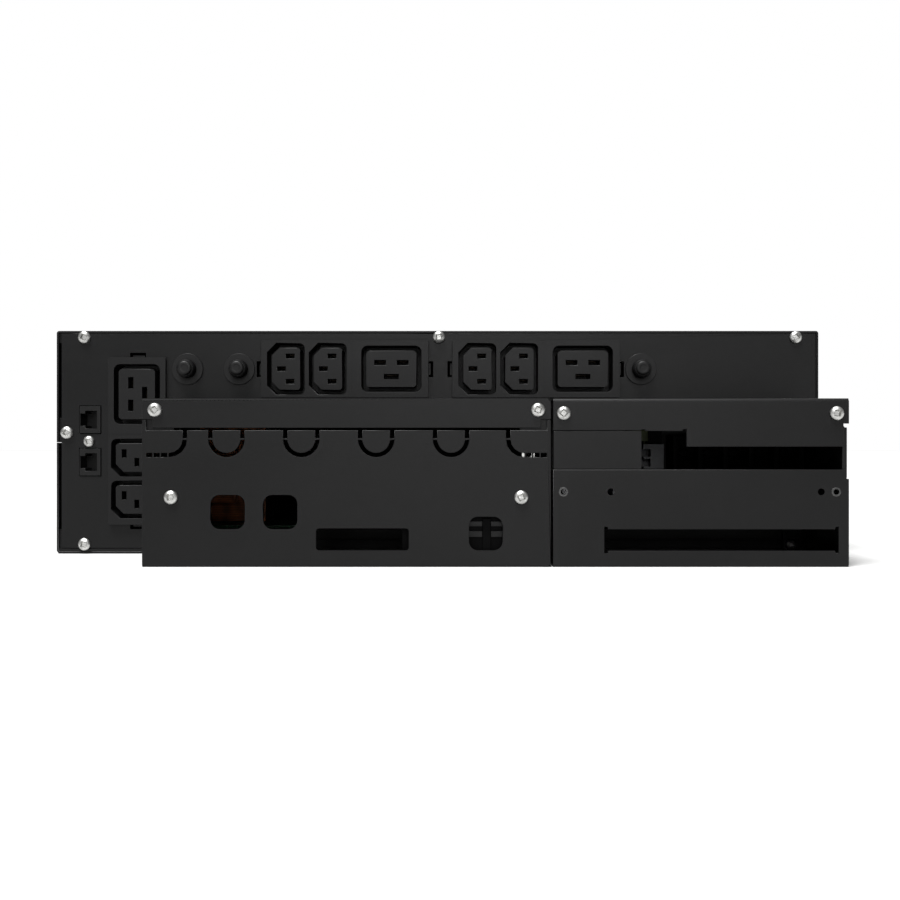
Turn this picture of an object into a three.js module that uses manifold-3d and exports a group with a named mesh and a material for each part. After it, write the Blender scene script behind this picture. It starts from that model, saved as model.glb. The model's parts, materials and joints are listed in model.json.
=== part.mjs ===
// Rack-mounted uninterruptible power supply, three rack units high, with its outlets, reset breakers, network
// jacks and two steel wiring boxes at the back, and a battery drawer and a control fascia at the front.
// Millimetres. X runs to the right as seen from behind, Y towards the front, Z up.
// The origin is the middle of the footprint, on the underside.
import * as THREE from "three";
import { mergeVertices } from "three/addons/utils/BufferGeometryUtils.js";
import Module from "manifold-3d";

const wasm = await Module();
wasm.setup();

// ---------------------------------------------------------------- driving dimensions

const CHASSIS = { width: 440, height: 128.6, depth: 575 };
const BEZEL_DEPTH = 30;
const SHEET = 1.2; // steel sheet of every folded part
const PLASTIC = 2.5; // wall of the moulded fascias
const SEAT = 0.3; // gap between two parts that lie on each other
const SLIDE = 0.5; // gap round a part that slides or turns
const LAP = SHEET / 2; // how far two joined sheets run into each other
const TUCK = 0.2; // how far a folded flap stands inside the edge it is joined to

const SCREW = { head: 3.7, height: 2.2, shank: 1.9, length: 7, hole: 2.2 };
const SMALL_SCREW = { head: 3.3, height: 1.9, shank: 1.5, length: 6, hole: 1.8 };

// The panel at the back stands between the chassis walls, close to the right one and clear of the left one.
const PANEL = { leftClear: 1.6, bottom: 3.2, flange: 14 };

// A snap-in block holds two small outlets and a large one; u runs along it and v across it.
const BLOCK = {
  ends: [3.7, 4.1],
  between: [2.4, 8.5],
  rim: 1.8,
  flange: 2.5,
  body: 34,
  inset: 1.5,
  recess: 16.5,
};
const SMALL_OUTLET = { u: 21.7, v: 29.5, groove: 2.6, chamfer: 5.3, corner: 3 };
const LARGE_OUTLET = { u: 34.4, v: 26.4, groove: 2.7, corner: 3.5 };
const SMALL_SLOT = { u: 4.7, v: 2.5, pitch: 14.6, line: 2.4, earth: 5 };
const LARGE_SLOT = { u: 6.4, v: 2.7, pitch: 13, line: 3.5, earth: 8, earthLength: 8.1 };
const SLOT_DEPTH = 14;
const LATCH = { width: 2.4, length: 9, reach: 1.4 };

// Places on the back panel: across from the case's left edge, and up from its underside or its middle height
// or down from its top.
const TOP_ROW_DOWN = 22.1;
const COLUMN_BLOCK = { across: 47, aboveMiddle: 0.7 };
const ROW_BLOCKS = [166.5, 276.7];
const BREAKER_ACROSS = [75.7, 105.5, 337.4];
const BREAKER = { button: 4.1, neckWall: 0.8, nutWall: 3.8, nutHeight: 1.6, neckHeight: 8, proud: 2.6 };
const BREAKER_CASE = { width: 15, above: 7, below: 17, depth: 32 };
const JACK = { across: 19.4, aboveMiddle: [13, -11.5], walls: [0.6, 2.1], rim: 2.7, proud: 0.6, depth: 18 };
const JACK_CAVITY = { width: 9.4, height: 10.2, notch: 3, notchHeight: 7, depth: 13 };
const SCREW_DOWN = 3.7; // the top screws, below the top of the case
const JACK_SCREW = { across: 18.9, aboveMiddle: 0.5 };

// Two folded steel boxes stand out from the lower right of the back panel.
const BOX = { depth: 83, height: 86.3, leftMargin: 69.7, rightMargin: 8.7, between: 1 };
const LINK = { width: 151.4 }; // the right-hand box, over the connections
const WIRING = {
  width: CHASSIS.width - BOX.leftMargin - BOX.rightMargin - BOX.between - LINK.width,
};
const LIP = { height: 15.2, gap: 1.2, cornerWidth: 2.2, cornerNotch: 3, cornerRise: 5.3 };
const KNOCKOUT = { width: 18.5, slit: 2.1, straight: 4.5, pitch: 38.3, bridge: 1, edge: 42.6, offset: -4 };
const SIDE_KNOCKOUT = { reach: 20.8, inset: 2.2, dash: 3, gap: 0.8 };
const SQUARE_HOLE = { size: 17.5, corner: 4.6, up: 28.1, from: 43.8, pitch: 26.9 };
const CABLE_SLOT = { width: 47.5, height: 11.3, corner: 1.6, up: 14.1, from: 112.7 };
const WINDOW = { size: 17.3, corner: 4.6, up: 17.1, fromRight: 33.4 };
const LID_SCREW = { in: 6.7, down: 6 };
const FACE_SCREW = { in: 14.9, up: 35.6 };
const LINK_SCREW = { fromLeft: 5.4, fromRight: 6.5, down: 7.7 };

// The long opening across the right-hand box steps down where the cover is deeper.
const LONG_SLOT = { bottom: 50.4, top: 69.5, lowTop: 61.5, start: 45.2, step: 68.2, end: 2.8 };
const BOTTOM_SLOT = { left: 26.3, right: 5.4, bottom: 8.3, top: 19.2, relief: 1.2, ear: 1.75 };
const SIDE_NOTCH = { bottom: 45, top: 73, depth: 14 };
const LINK_HOLES = { up: 38.4, radius: 1.8, in: [5.3, 29.6, 137.1, 144.8] };

const TERMINALS = { poles: 5, pitch: 14.2, height: 22, depth: 24, up: 46, fromRight: 6.5 };
const CLAMP_BLOCK = { poles: 5, pitch: 12.8, height: 26, depth: 30, behindFace: 4 };

const VENTS = { from: 70, pitch: 12, width: 5, count: 10, height: [24, 50] };
const BAY_DEPTH = 318;
const PACK = { headroom: 25.7, gap: 2, count: 2 };
const FAN = { count: 2, size: 80, gap: 7, depth: 25, wall: 2, hub: 15, strut: 5, blades: 7, up: 24 };
const BOARD = { thickness: 1.6, up: 12 };
const DISPLAY = { width: 92, height: 38, down: 12.6, depth: 14, frame: 6 };
const KEY = { width: 14, height: 7, pitch: 22, up: 47, depth: 5.8, count: 3 };
const POWER_KEY = { radius: 7, up: 26, depth: 6.9 };
const EAR = { reach: 21.3, thickness: 2, leg: 74, slot: 6.8, slotWidth: 10.5, rackPitch: 57.15 };

// ---------------------------------------------------------------- derived places

const LEFT = -CHASSIS.width / 2;
const RIGHT = CHASSIS.width / 2;
const BACK_END = -(SCREW.height + BOX.depth + CHASSIS.depth + BEZEL_DEPTH) / 2;
const BOX_FACE = BACK_END + SCREW.height; // outer face of both boxes
const PANEL_FACE = BOX_FACE + BOX.depth; // outer face of the back panel
const PANEL_BACK = PANEL_FACE + SHEET;
const FRONT_EDGE = PANEL_FACE + CHASSIS.depth; // front edge of the chassis walls
const BEZEL_FACE = FRONT_EDGE + BEZEL_DEPTH;
const HALF_HEIGHT = CHASSIS.height / 2;
const TOP_ROW = CHASSIS.height - TOP_ROW_DOWN;
const BLOCK_LENGTH =
  BLOCK.ends[0] + 2 * SMALL_OUTLET.u + BLOCK.between[0] + BLOCK.between[1] + LARGE_OUTLET.u + BLOCK.ends[1];
const BLOCK_WIDTH = Math.max(SMALL_OUTLET.v, LARGE_OUTLET.v) + 2 * BLOCK.rim;
const NECK = BREAKER.button + SEAT + BREAKER.neckWall; // radius of a breaker's neck
const JACK_WIDTH = JACK.walls[0] + JACK_CAVITY.width + JACK.walls[1];
const JACK_HEIGHT = JACK_CAVITY.height + 2 * JACK.rim;
const PANEL_SCREWS = [
  ["left_top", 16.2, CHASSIS.height - SCREW_DOWN],
  ["middle_top", 220.8, CHASSIS.height - SCREW_DOWN],
  ["right_top", CHASSIS.width - 13.3, CHASSIS.height - SCREW_DOWN],
  ["left_middle", 6.1, HALF_HEIGHT + 5.5],
  ["left_bottom", 16.2, 5.4],
];
const FAN_BORE = FAN.size / 2 - FAN.wall;
const FAN_ROOM = FAN.count * FAN.size + (FAN.count + 1) * FAN.gap; // width of the bay beside the battery's
const BAY_WIDTH = CHASSIS.width - FAN_ROOM - 2 * SHEET - 2 * SEAT;
const WIRING_LEFT = LEFT + BOX.leftMargin;
const WIRING_RIGHT = WIRING_LEFT + WIRING.width;
const LINK_LEFT = WIRING_RIGHT + BOX.between;
const LINK_RIGHT = LINK_LEFT + LINK.width;
const BOX_BACK = PANEL_FACE - SEAT;
const LIP_BOTTOM = BOX.height - LIP.height;
const FACE_TOP = LIP_BOTTOM - LIP.gap; // top edge of the wiring box's front face

// ---------------------------------------------------------------- finishes

const finish = (color, roughness, metalness) => new THREE.MeshStandardMaterial({ color, roughness, metalness });
const FINISH = {
  steel: finish(0x1b1b1c, 0.55, 0.2),
  plastic: finish(0x161617, 0.5, 0),
  zinc: finish(0xc9cac8, 0.3, 1),
  board: finish(0x1d4a2c, 0.6, 0),
  aluminium: finish(0xa9acb0, 0.4, 1),
  battery: finish(0x2b2e33, 0.6, 0),
  signal: finish(0x8b9a2c, 0.5, 0),
  copper: finish(0x9a5a32, 0.4, 0.8),
  glass: finish(0x0b1420, 0.08, 0),
};

// ---------------------------------------------------------------- solids

/** A closed three.js geometry as a solid that can be joined and cut. */
function solid(geometry) {
  const bare = geometry.clone();
  bare.deleteAttribute("normal");
  bare.deleteAttribute("uv");
  const merged = mergeVertices(bare, 1e-4);
  return new wasm.Manifold(
    new wasm.Mesh({
      numProp: 3,
      vertProperties: merged.attributes.position.array,
      triVerts: new Uint32Array(merged.index.array),
    }),
  );
}

/** A box between two corners. */
function block(x, y, z) {
  const size = [x, y, z].map(([low, high]) => high - low);
  const middle = [x, y, z].map(([low, high]) => (low + high) / 2);
  return solid(new THREE.BoxGeometry(...size).translate(...middle));
}

/** An outline drawn in X and Z, carried from one Y to another. */
function prism(shape, [from, to], curveSegments = 4) {
  const geometry = new THREE.ExtrudeGeometry(shape, { depth: to - from, bevelEnabled: false, curveSegments });
  return solid(geometry.rotateX(Math.PI / 2).translate(0, to, 0));
}

/** An outline drawn in X and Y, carried up from one Z to another. */
function column(shape, [from, to], curveSegments = 4) {
  const geometry = new THREE.ExtrudeGeometry(shape, { depth: to - from, bevelEnabled: false, curveSegments });
  return solid(geometry.translate(0, 0, from));
}

/** An outline drawn in Y and Z, carried from one X to another. */
function beam(shape, [from, to]) {
  const geometry = new THREE.ExtrudeGeometry(shape, { depth: to - from, bevelEnabled: false });
  const turn = new THREE.Matrix4().set(0, 0, 1, from, 1, 0, 0, 0, 0, 1, 0, 0, 0, 0, 0, 1);
  return solid(geometry.applyMatrix4(turn));
}

/** A round bar along Y. */
function bar(radius, x, [from, to], z, sides = 20) {
  return solid(new THREE.CylinderGeometry(radius, radius, to - from, sides).translate(x, (from + to) / 2, z));
}

const join = (pieces) => pieces.reduce((whole, piece) => whole.add(piece));
const cut = (whole, tools) => tools.reduce((rest, tool) => rest.subtract(tool), whole);

const root = new THREE.Group();

/** Adds a solid to the model as a named part. */
function part(name, shape, material, holder = root) {
  const made = shape.getMesh();
  const geometry = new THREE.BufferGeometry();
  const points = new Float32Array(made.numVert * 3);
  for (let i = 0; i < made.numVert; i += 1) {
    points.set(made.vertProperties.subarray(i * made.numProp, i * made.numProp + 3), i * 3);
  }
  geometry.setAttribute("position", new THREE.BufferAttribute(points, 3));
  geometry.setIndex(new THREE.BufferAttribute(made.triVerts, 1));
  geometry.computeVertexNormals();
  const mesh = new THREE.Mesh(geometry, material);
  mesh.name = name;
  holder.add(mesh);
  return mesh;
}

// ---------------------------------------------------------------- outlines

/** A closed outline through its corners. */
function outline(corners) {
  const shape = new THREE.Shape();
  corners.forEach(([a, b], i) => (i ? shape.lineTo(a, b) : shape.moveTo(a, b)));
  shape.closePath();
  return shape;
}

/** A floor and two walls folded from one sheet. */
function trough(left, right, floor, wallTop) {
  return outline([
    [left, floor],
    [right, floor],
    [right, wallTop],
    [right - SHEET, wallTop],
    [right - SHEET, floor + SHEET],
    [left + SHEET, floor + SHEET],
    [left + SHEET, wallTop],
    [left, wallTop],
  ]);
}

/** A slot with round ends, long along its first axis. */
function stadium(x, z, width, height) {
  const shape = new THREE.Shape();
  const reach = (width - height) / 2;
  shape.absarc(x + reach, z, height / 2, -Math.PI / 2, Math.PI / 2);
  shape.absarc(x - reach, z, height / 2, Math.PI / 2, 1.5 * Math.PI);
  shape.closePath();
  return shape;
}

function roundedRectangle(x, z, width, height, corner) {
  const shape = new THREE.Shape();
  const [left, right, bottom, top] = [x - width / 2, x + width / 2, z - height / 2, z + height / 2];
  shape.moveTo(left + corner, bottom);
  shape.absarc(right - corner, bottom + corner, corner, -Math.PI / 2, 0);
  shape.absarc(right - corner, top - corner, corner, 0, Math.PI / 2);
  shape.absarc(left + corner, top - corner, corner, Math.PI / 2, Math.PI);
  shape.absarc(left + corner, bottom + corner, corner, Math.PI, 1.5 * Math.PI);
  return shape;
}

/** The outline of a small outlet: two cut corners on the earth side, two round ones opposite. */
function smallOutletOutline(u, inset) {
  const half = { u: SMALL_OUTLET.u / 2 - inset, v: SMALL_OUTLET.v / 2 - inset };
  const cutCorner = SMALL_OUTLET.chamfer - inset * 0.3;
  const corner = SMALL_OUTLET.corner - inset * 0.4;
  const shape = new THREE.Shape();
  shape.moveTo(u - half.u, half.v - cutCorner);
  shape.lineTo(u - half.u, -half.v + cutCorner);
  shape.lineTo(u - half.u + cutCorner, -half.v);
  shape.absarc(u + half.u - corner, -half.v + corner, corner, -Math.PI / 2, 0);
  shape.absarc(u + half.u - corner, half.v - corner, corner, 0, Math.PI / 2);
  shape.lineTo(u - half.u + cutCorner, half.v);
  shape.closePath();
  return shape;
}

// ---------------------------------------------------------------- fasteners

/** A domed screw along Y; its head points backwards and sits on the plane at seat. */
function screw(name, x, z, seat, size = SCREW) {
  const profile = [
    [0, -size.height],
    [size.head * 0.55, -size.height * 0.86],
    [size.head * 0.88, -size.height * 0.5],
    [size.head, 0],
    [size.shank, 0],
    [size.shank, size.length],
    [0, size.length],
  ].map(([r, y]) => new THREE.Vector2(r, y));
  const shape = solid(new THREE.LatheGeometry(profile, 14).translate(x, seat - SEAT, z));
  part(name, shape, FINISH.zinc);
}

const screwHole = (x, z, y, size = SCREW) => bar(size.hole, x, y, z, 12);

// ---------------------------------------------------------------- chassis

/** Places of the three outlet blocks: middle, and whether the block stands on end. */
const BLOCKS = [
  {
    name: "outlet_block_column",
    x: LEFT + COLUMN_BLOCK.across,
    z: HALF_HEIGHT + COLUMN_BLOCK.aboveMiddle,
    upright: true,
  },
  { name: "outlet_block_middle", x: LEFT + ROW_BLOCKS[0], z: TOP_ROW, upright: false },
  { name: "outlet_block_right", x: LEFT + ROW_BLOCKS[1], z: TOP_ROW, upright: false },
];

/** Lower half of the case: floor, low side walls, the fold behind the back panel and the board's posts. */
function chassisTray() {
  const shell = prism(trough(LEFT, RIGHT, 0, HALF_HEIGHT - SEAT), [PANEL_FACE, FRONT_EDGE]);
  const across = [LEFT + LAP, RIGHT - LAP];
  const lip = block(across, [PANEL_FACE + TUCK, PANEL_BACK + SHEET], [LAP, PANEL.bottom - SEAT]);
  const fold = block(across, [PANEL_BACK + SEAT, PANEL_BACK + SEAT + SHEET], [LAP, PANEL.flange]);
  const posts = [];
  const rise = BOARD.up - SEAT - LAP;
  for (const x of [LEFT + 24, -8, RIGHT - 24]) {
    for (const y of [PANEL_FACE + 58, PANEL_FACE + 230]) {
      const post = new THREE.CylinderGeometry(3.5, 3.5, rise, 8).rotateX(Math.PI / 2);
      posts.push(solid(post.translate(x, y, LAP + rise / 2)));
    }
  }
  const vents = [];
  for (const side of [LEFT, RIGHT - SHEET]) {
    for (let i = 0; i < VENTS.count; i += 1) {
      const y = PANEL_FACE + VENTS.from + i * VENTS.pitch;
      vents.push(block([side - 1, side + SHEET + 1], [y, y + VENTS.width], VENTS.height));
    }
  }
  const drilled = PANEL_SCREWS.filter(([, , up]) => up < HALF_HEIGHT).map(([, across, up]) =>
    screwHole(LEFT + across, up, [PANEL_BACK, PANEL_BACK + 4]),
  );
  const cleared = cut(fold, BLOCKS.map(blockClearance));
  part("chassis_tray", cut(join([shell, lip, cleared, ...posts]), [...vents, ...drilled]), FINISH.steel);
}

/** Upper half of the case: top, high side walls and the fold behind the back panel. */
function topCover() {
  const [low, high] = [HALF_HEIGHT, CHASSIS.height];
  const shell = outline([
    [LEFT, low],
    [LEFT + SHEET, low],
    [LEFT + SHEET, high - SHEET],
    [RIGHT - SHEET, high - SHEET],
    [RIGHT - SHEET, low],
    [RIGHT, low],
    [RIGHT, high],
    [LEFT, high],
  ]);
  const flange = [PANEL_BACK + SEAT, PANEL_BACK + SEAT + SHEET];
  const fold = block([LEFT + LAP, RIGHT - LAP], flange, [high - PANEL.flange / 2, high - LAP]);
  const tabEnd = LEFT + JACK.across - JACK_WIDTH / 2 - 2;
  const tab = block([LEFT + LAP, tabEnd], flange, [low + TUCK, low + PANEL.flange]);
  const cleared = cut(fold, BLOCKS.map(blockClearance));
  const drilled = PANEL_SCREWS.filter(([, , up]) => up > HALF_HEIGHT).map(([, across, up]) =>
    screwHole(LEFT + across, up, [PANEL_BACK, PANEL_BACK + 4]),
  );
  part("top_cover", cut(join([prism(shell, [PANEL_FACE, FRONT_EDGE]), cleared, tab]), drilled), FINISH.steel);
}

/** The room that an outlet block's body takes in a sheet behind the back panel. */
function blockClearance({ x, z, upright }) {
  const [w, h] = [BLOCK_LENGTH, BLOCK_WIDTH].map((size) => size / 2 - BLOCK.inset + SLIDE);
  const [dx, dz] = upright ? [h, w] : [w, h];
  return block([x - dx, x + dx], [PANEL_BACK, PANEL_BACK + 4], [z - dz, z + dz]);
}

/** What the back panel loses for one outlet block: the body's opening and a slot for each latch. */
function blockOpening({ x, z, upright }) {
  const clear = BLOCK.inset - SEAT;
  const turned = (u, v) => (upright ? [v, u] : [u, v]);
  const opening = (u, width, height) => {
    const [dx, dz] = turned(u, 0);
    const [w, h] = turned(width, height);
    const across = [x + dx - w / 2, x + dx + w / 2];
    return block(across, [PANEL_FACE - 1, PANEL_BACK + 1], [z + dz - h / 2, z + dz + h / 2]);
  };
  const latch = BLOCK_LENGTH / 2 + LATCH.reach;
  return [
    opening(0, BLOCK_LENGTH - 2 * clear, BLOCK_WIDTH - 2 * clear),
    opening(-latch, LATCH.width, LATCH.length),
    opening(latch, LATCH.width, LATCH.length),
  ];
}

function rearPanel() {
  const left = LEFT + SHEET + PANEL.leftClear;
  const right = RIGHT - SHEET - SEAT;
  const top = CHASSIS.height - SHEET - SEAT;
  const sheet = block([left, right], [PANEL_FACE, PANEL_BACK], [PANEL.bottom, top]);
  const through = [PANEL_FACE - 1, PANEL_BACK + 1];
  const breakers = BREAKER_ACROSS.map((across) => bar(NECK + SEAT, LEFT + across, through, TOP_ROW, 20));
  const jacks = JACK.aboveMiddle.map((above) => {
    const [w, h] = [JACK_WIDTH / 2 + SEAT, JACK_HEIGHT / 2 + SEAT];
    const [x, z] = [LEFT + JACK.across, HALF_HEIGHT + above];
    return block([x - w, x + w], through, [z - h, z + h]);
  });
  const screws = PANEL_SCREWS.map(([, across, up]) => screwHole(LEFT + across, up, through));
  const middle = HALF_HEIGHT + JACK_SCREW.aboveMiddle;
  const jackScrew = screwHole(LEFT + JACK_SCREW.across, middle, through, SMALL_SCREW);
  const wiring = block([WIRING_LEFT + 13, WIRING_RIGHT - 13], through, [8, 80]);
  const link = block([LINK_LEFT + 7, LINK_RIGHT - 7], through, [8, 45]);
  part(
    "rear_panel",
    cut(sheet, [...BLOCKS.flatMap(blockOpening), ...breakers, ...jacks, ...screws, jackScrew, wiring, link]),
    FINISH.steel,
  );
}

/** The steel wall behind the control fascia, with the fans' openings, and the wall of the battery bay. */
function frontPanel() {
  const wallX = LEFT + BAY_WIDTH + SEAT;
  const right = RIGHT - SHEET - SEAT;
  const corner = outline([
    [wallX, FRONT_EDGE],
    [wallX, FRONT_EDGE - BAY_DEPTH],
    [wallX + SHEET, FRONT_EDGE - BAY_DEPTH],
    [wallX + SHEET, FRONT_EDGE - SHEET],
    [right, FRONT_EDGE - SHEET],
    [right, FRONT_EDGE],
  ]);
  const through = [FRONT_EDGE - SHEET - 1, FRONT_EDGE + 1];
  const holes = FANS.map(({ x }) => bar(FAN_BORE, x, through, FAN.up + FAN.size / 2, 32));
  part("front_panel", cut(column(corner, [SHEET + SEAT, CHASSIS.height - SHEET - SEAT]), holes), FINISH.steel);
}

// ---------------------------------------------------------------- outlets, breakers and jacks

/** One snap-in outlet block, drawn lying down: flange, body, three sockets and two latches. */
function outletBlock({ name, x, z, upright }) {
  const inset = BLOCK.inset;
  const flange = prism(roundedRectangle(0, 0, BLOCK_LENGTH, BLOCK_WIDTH, 1), [-BLOCK.flange - SEAT, -SEAT], 2);
  const body = block(
    [-BLOCK_LENGTH / 2 + inset, BLOCK_LENGTH / 2 - inset],
    [-BLOCK.flange, BLOCK.body],
    [-BLOCK_WIDTH / 2 + inset, BLOCK_WIDTH / 2 - inset],
  );
  const pieces = [flange, body];
  const face = -BLOCK.flange - SEAT;
  const recess = [face - 1, face + BLOCK.recess];
  const slot = [face - 1, face + SLOT_DEPTH];
  const removed = [];
  const cores = [];
  const firstSmall = -BLOCK_LENGTH / 2 + BLOCK.ends[0] + SMALL_OUTLET.u / 2;
  const smallAt = [firstSmall, firstSmall + SMALL_OUTLET.u + BLOCK.between[0]];
  const at = BLOCK_LENGTH / 2 - BLOCK.ends[1] - LARGE_OUTLET.u / 2;
  for (const u of smallAt) {
    removed.push(prism(smallOutletOutline(u, 0), recess, 3));
    cores.push(prism(smallOutletOutline(u, SMALL_OUTLET.groove), [face, face + BLOCK.recess + 1], 3));
  }
  const { u: wide, v: high, groove, corner } = LARGE_OUTLET;
  const coreSize = [wide - 2 * groove, high - 2 * groove];
  removed.push(prism(roundedRectangle(at, 0, wide, high, corner), recess, 3));
  cores.push(prism(roundedRectangle(at, 0, ...coreSize, corner - 1.2), [face, face + BLOCK.recess + 1], 3));
  const pins = [];
  const pin = (u, v, w, h) => pins.push(block([u - w / 2, u + w / 2], slot, [v - h / 2, v + h / 2]));
  for (const u of smallAt) {
    pin(u + SMALL_SLOT.line, SMALL_SLOT.pitch / 2, SMALL_SLOT.u, SMALL_SLOT.v);
    pin(u + SMALL_SLOT.line, -SMALL_SLOT.pitch / 2, SMALL_SLOT.u, SMALL_SLOT.v);
    pin(u + SMALL_SLOT.line - SMALL_SLOT.earth, 0, SMALL_SLOT.u, SMALL_SLOT.v);
  }
  pin(at - LARGE_SLOT.pitch / 2, LARGE_SLOT.line, LARGE_SLOT.u, LARGE_SLOT.v);
  pin(at + LARGE_SLOT.pitch / 2, LARGE_SLOT.line, LARGE_SLOT.u, LARGE_SLOT.v);
  pin(at, LARGE_SLOT.line - LARGE_SLOT.earth, LARGE_SLOT.earthLength, LARGE_SLOT.v);
  for (const end of [-1, 1]) {
    const tip = end * (BLOCK_LENGTH / 2 + LATCH.reach);
    const arm = [Math.min(tip, end * (BLOCK_LENGTH / 2 - 4)), Math.max(tip, end * (BLOCK_LENGTH / 2 - 4))];
    pieces.push(block(arm, [SHEET + 2 * SEAT, SHEET + 4], [-LATCH.length / 2 + 1, LATCH.length / 2 - 1]));
  }
  const made = cut(cut(join(pieces), removed).add(join(cores)), pins);
  const mesh = part(name, made, FINISH.plastic);
  mesh.position.set(x, PANEL_FACE, z);
  if (upright) mesh.rotation.y = -Math.PI / 2;
}

/** A push-to-reset breaker: its case behind the panel, its nut outside and the button in its neck. */
function breaker(number, x) {
  const z = TOP_ROW;
  const caseFront = PANEL_BACK + SEAT;
  const neckEnd = PANEL_FACE - BREAKER.neckHeight;
  const shell = block(
    [x - BREAKER_CASE.width / 2, x + BREAKER_CASE.width / 2],
    [caseFront, caseFront + BREAKER_CASE.depth],
    [z - BREAKER_CASE.below, z + BREAKER_CASE.above],
  );
  const neck = bar(NECK, x, [neckEnd, caseFront + 1], z, 24);
  const well = bar(BREAKER.button + SEAT, x, [neckEnd - 1, PANEL_FACE + 4], z, 20);
  part(`breaker_${number}_case`, cut(join([shell, neck]), [well]), FINISH.plastic);
  const washer = [PANEL_FACE - SEAT - BREAKER.nutHeight, PANEL_FACE - SEAT];
  const ring = bar(NECK + BREAKER.nutWall, x, washer, z, 28);
  const hole = bar(NECK + SEAT, x, [washer[0] - 1, washer[1] + 1], z, 24);
  part(`breaker_${number}_nut`, cut(ring, [hole]), FINISH.plastic);
  const button = bar(BREAKER.button, x, [neckEnd - BREAKER.proud, PANEL_FACE + 3], z, 20);
  part(`breaker_${number}_button`, button, FINISH.plastic);
}

/** A modular network jack, turned so that its latch notch points left. */
function jack(name, aboveMiddle) {
  const z = HALF_HEIGHT + aboveMiddle;
  const left = LEFT + JACK.across - JACK_WIDTH / 2;
  const depth = [PANEL_FACE - JACK.proud, PANEL_FACE + JACK.depth];
  const shell = block([left, left + JACK_WIDTH], depth, [z - JACK_HEIGHT / 2, z + JACK_HEIGHT / 2]);
  const mouth = [depth[0] - 1, depth[0] + JACK_CAVITY.depth];
  const start = left + JACK.walls[0];
  const { width, height, notch, notchHeight } = JACK_CAVITY;
  const cavity = block([start + notch - TUCK, start + width], mouth, [z - height / 2, z + height / 2]);
  const latch = block([start, start + notch], mouth, [z - notchHeight / 2, z + notchHeight / 2]);
  part(name, cut(shell, [cavity, latch]), FINISH.plastic);
}

// ---------------------------------------------------------------- wiring box (left)

/** The slit round one U-shaped knockout that hangs from the face's top edge, with its two bridges. */
function knockoutSlit(x) {
  const { width, slit, straight, bridge } = KNOCKOUT;
  const centre = FACE_TOP - straight;
  const outer = width / 2;
  const inner = outer - slit;
  const shape = new THREE.Shape();
  shape.moveTo(x - outer, FACE_TOP + 1);
  shape.lineTo(x - outer, centre);
  shape.absarc(x, centre, outer, Math.PI, 2 * Math.PI);
  shape.lineTo(x + outer, FACE_TOP + 1);
  shape.lineTo(x + inner, FACE_TOP + 1);
  shape.lineTo(x + inner, centre);
  shape.absarc(x, centre, inner, 0, -Math.PI, true);
  shape.lineTo(x - inner, FACE_TOP + 1);
  shape.closePath();
  const around = prism(shape, [BOX_FACE - 1, BOX_FACE + SHEET + 1], 6);
  const thick = [BOX_FACE - 2, BOX_FACE + SHEET + 2];
  const bridges = block([x - width, x + width], thick, [centre - bridge / 2, centre + bridge / 2]);
  return around.subtract(bridges);
}

/** The slit of a knockout at the box's side: down, round a quarter turn and in dashes out to the corner. */
function sideKnockoutSlit(edge, inward) {
  const { width, slit, straight, bridge } = KNOCKOUT;
  const { inset, reach, dash, gap } = SIDE_KNOCKOUT;
  const centre = FACE_TOP - straight;
  const outer = width / 2;
  const turn = inset + reach - outer;
  const arc = (radius) =>
    [0, 1, 2, 3, 4].map((i) => {
      const angle = (i * Math.PI) / 8;
      return [turn + radius * Math.sin(angle), centre - radius * Math.cos(angle)];
    });
  const path = [
    [inset, centre - outer],
    ...arc(outer),
    [turn + outer, FACE_TOP + 1],
    [turn + outer - slit, FACE_TOP + 1],
    ...arc(outer - slit).reverse(),
    [inset, centre - outer + slit],
  ].map(([d, z]) => [edge + inward * d, z]);
  const bridges = [];
  const across = (from, to) => [edge + inward * from, edge + inward * to].sort((a, b) => a - b);
  const thick = [BOX_FACE - 2, BOX_FACE + SHEET + 2];
  for (let d = inset + dash; d < turn; d += dash + gap) {
    bridges.push(block(across(d, d + gap), thick, [centre - outer - 1, centre - outer + slit + 1]));
  }
  const middle = [centre - bridge / 2, centre + bridge / 2];
  bridges.push(block(across(turn + outer - slit - 1, turn + outer + 1), thick, middle));
  return cut(prism(outline(path), [BOX_FACE - 1, BOX_FACE + SHEET + 1]), bridges);
}

function knockoutPlaces() {
  const { edge, pitch, offset } = KNOCKOUT;
  const count = Math.max(1, Math.floor((WIRING.width - 2 * edge) / pitch + 1));
  const first = (WIRING_LEFT + WIRING_RIGHT - (count - 1) * pitch) / 2 + offset;
  return Array.from({ length: count }, (_, i) => first + i * pitch);
}

/** A box's folded shell behind its face: floor, two side walls and the flaps that lie on the back panel. */
function boxShell(left, right, wallTop, flapTop) {
  const [low, high] = [left + TUCK, right - TUCK];
  const back = [BOX_BACK - TUCK - SHEET, BOX_BACK - TUCK];
  return [
    prism(trough(low, high, TUCK, wallTop), [BOX_FACE + LAP, BOX_BACK]),
    block([low + LAP, low + 12], back, [TUCK + LAP, flapTop - TUCK]),
    block([high - 12, high - LAP], back, [TUCK + LAP, flapTop - TUCK]),
  ];
}

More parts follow.
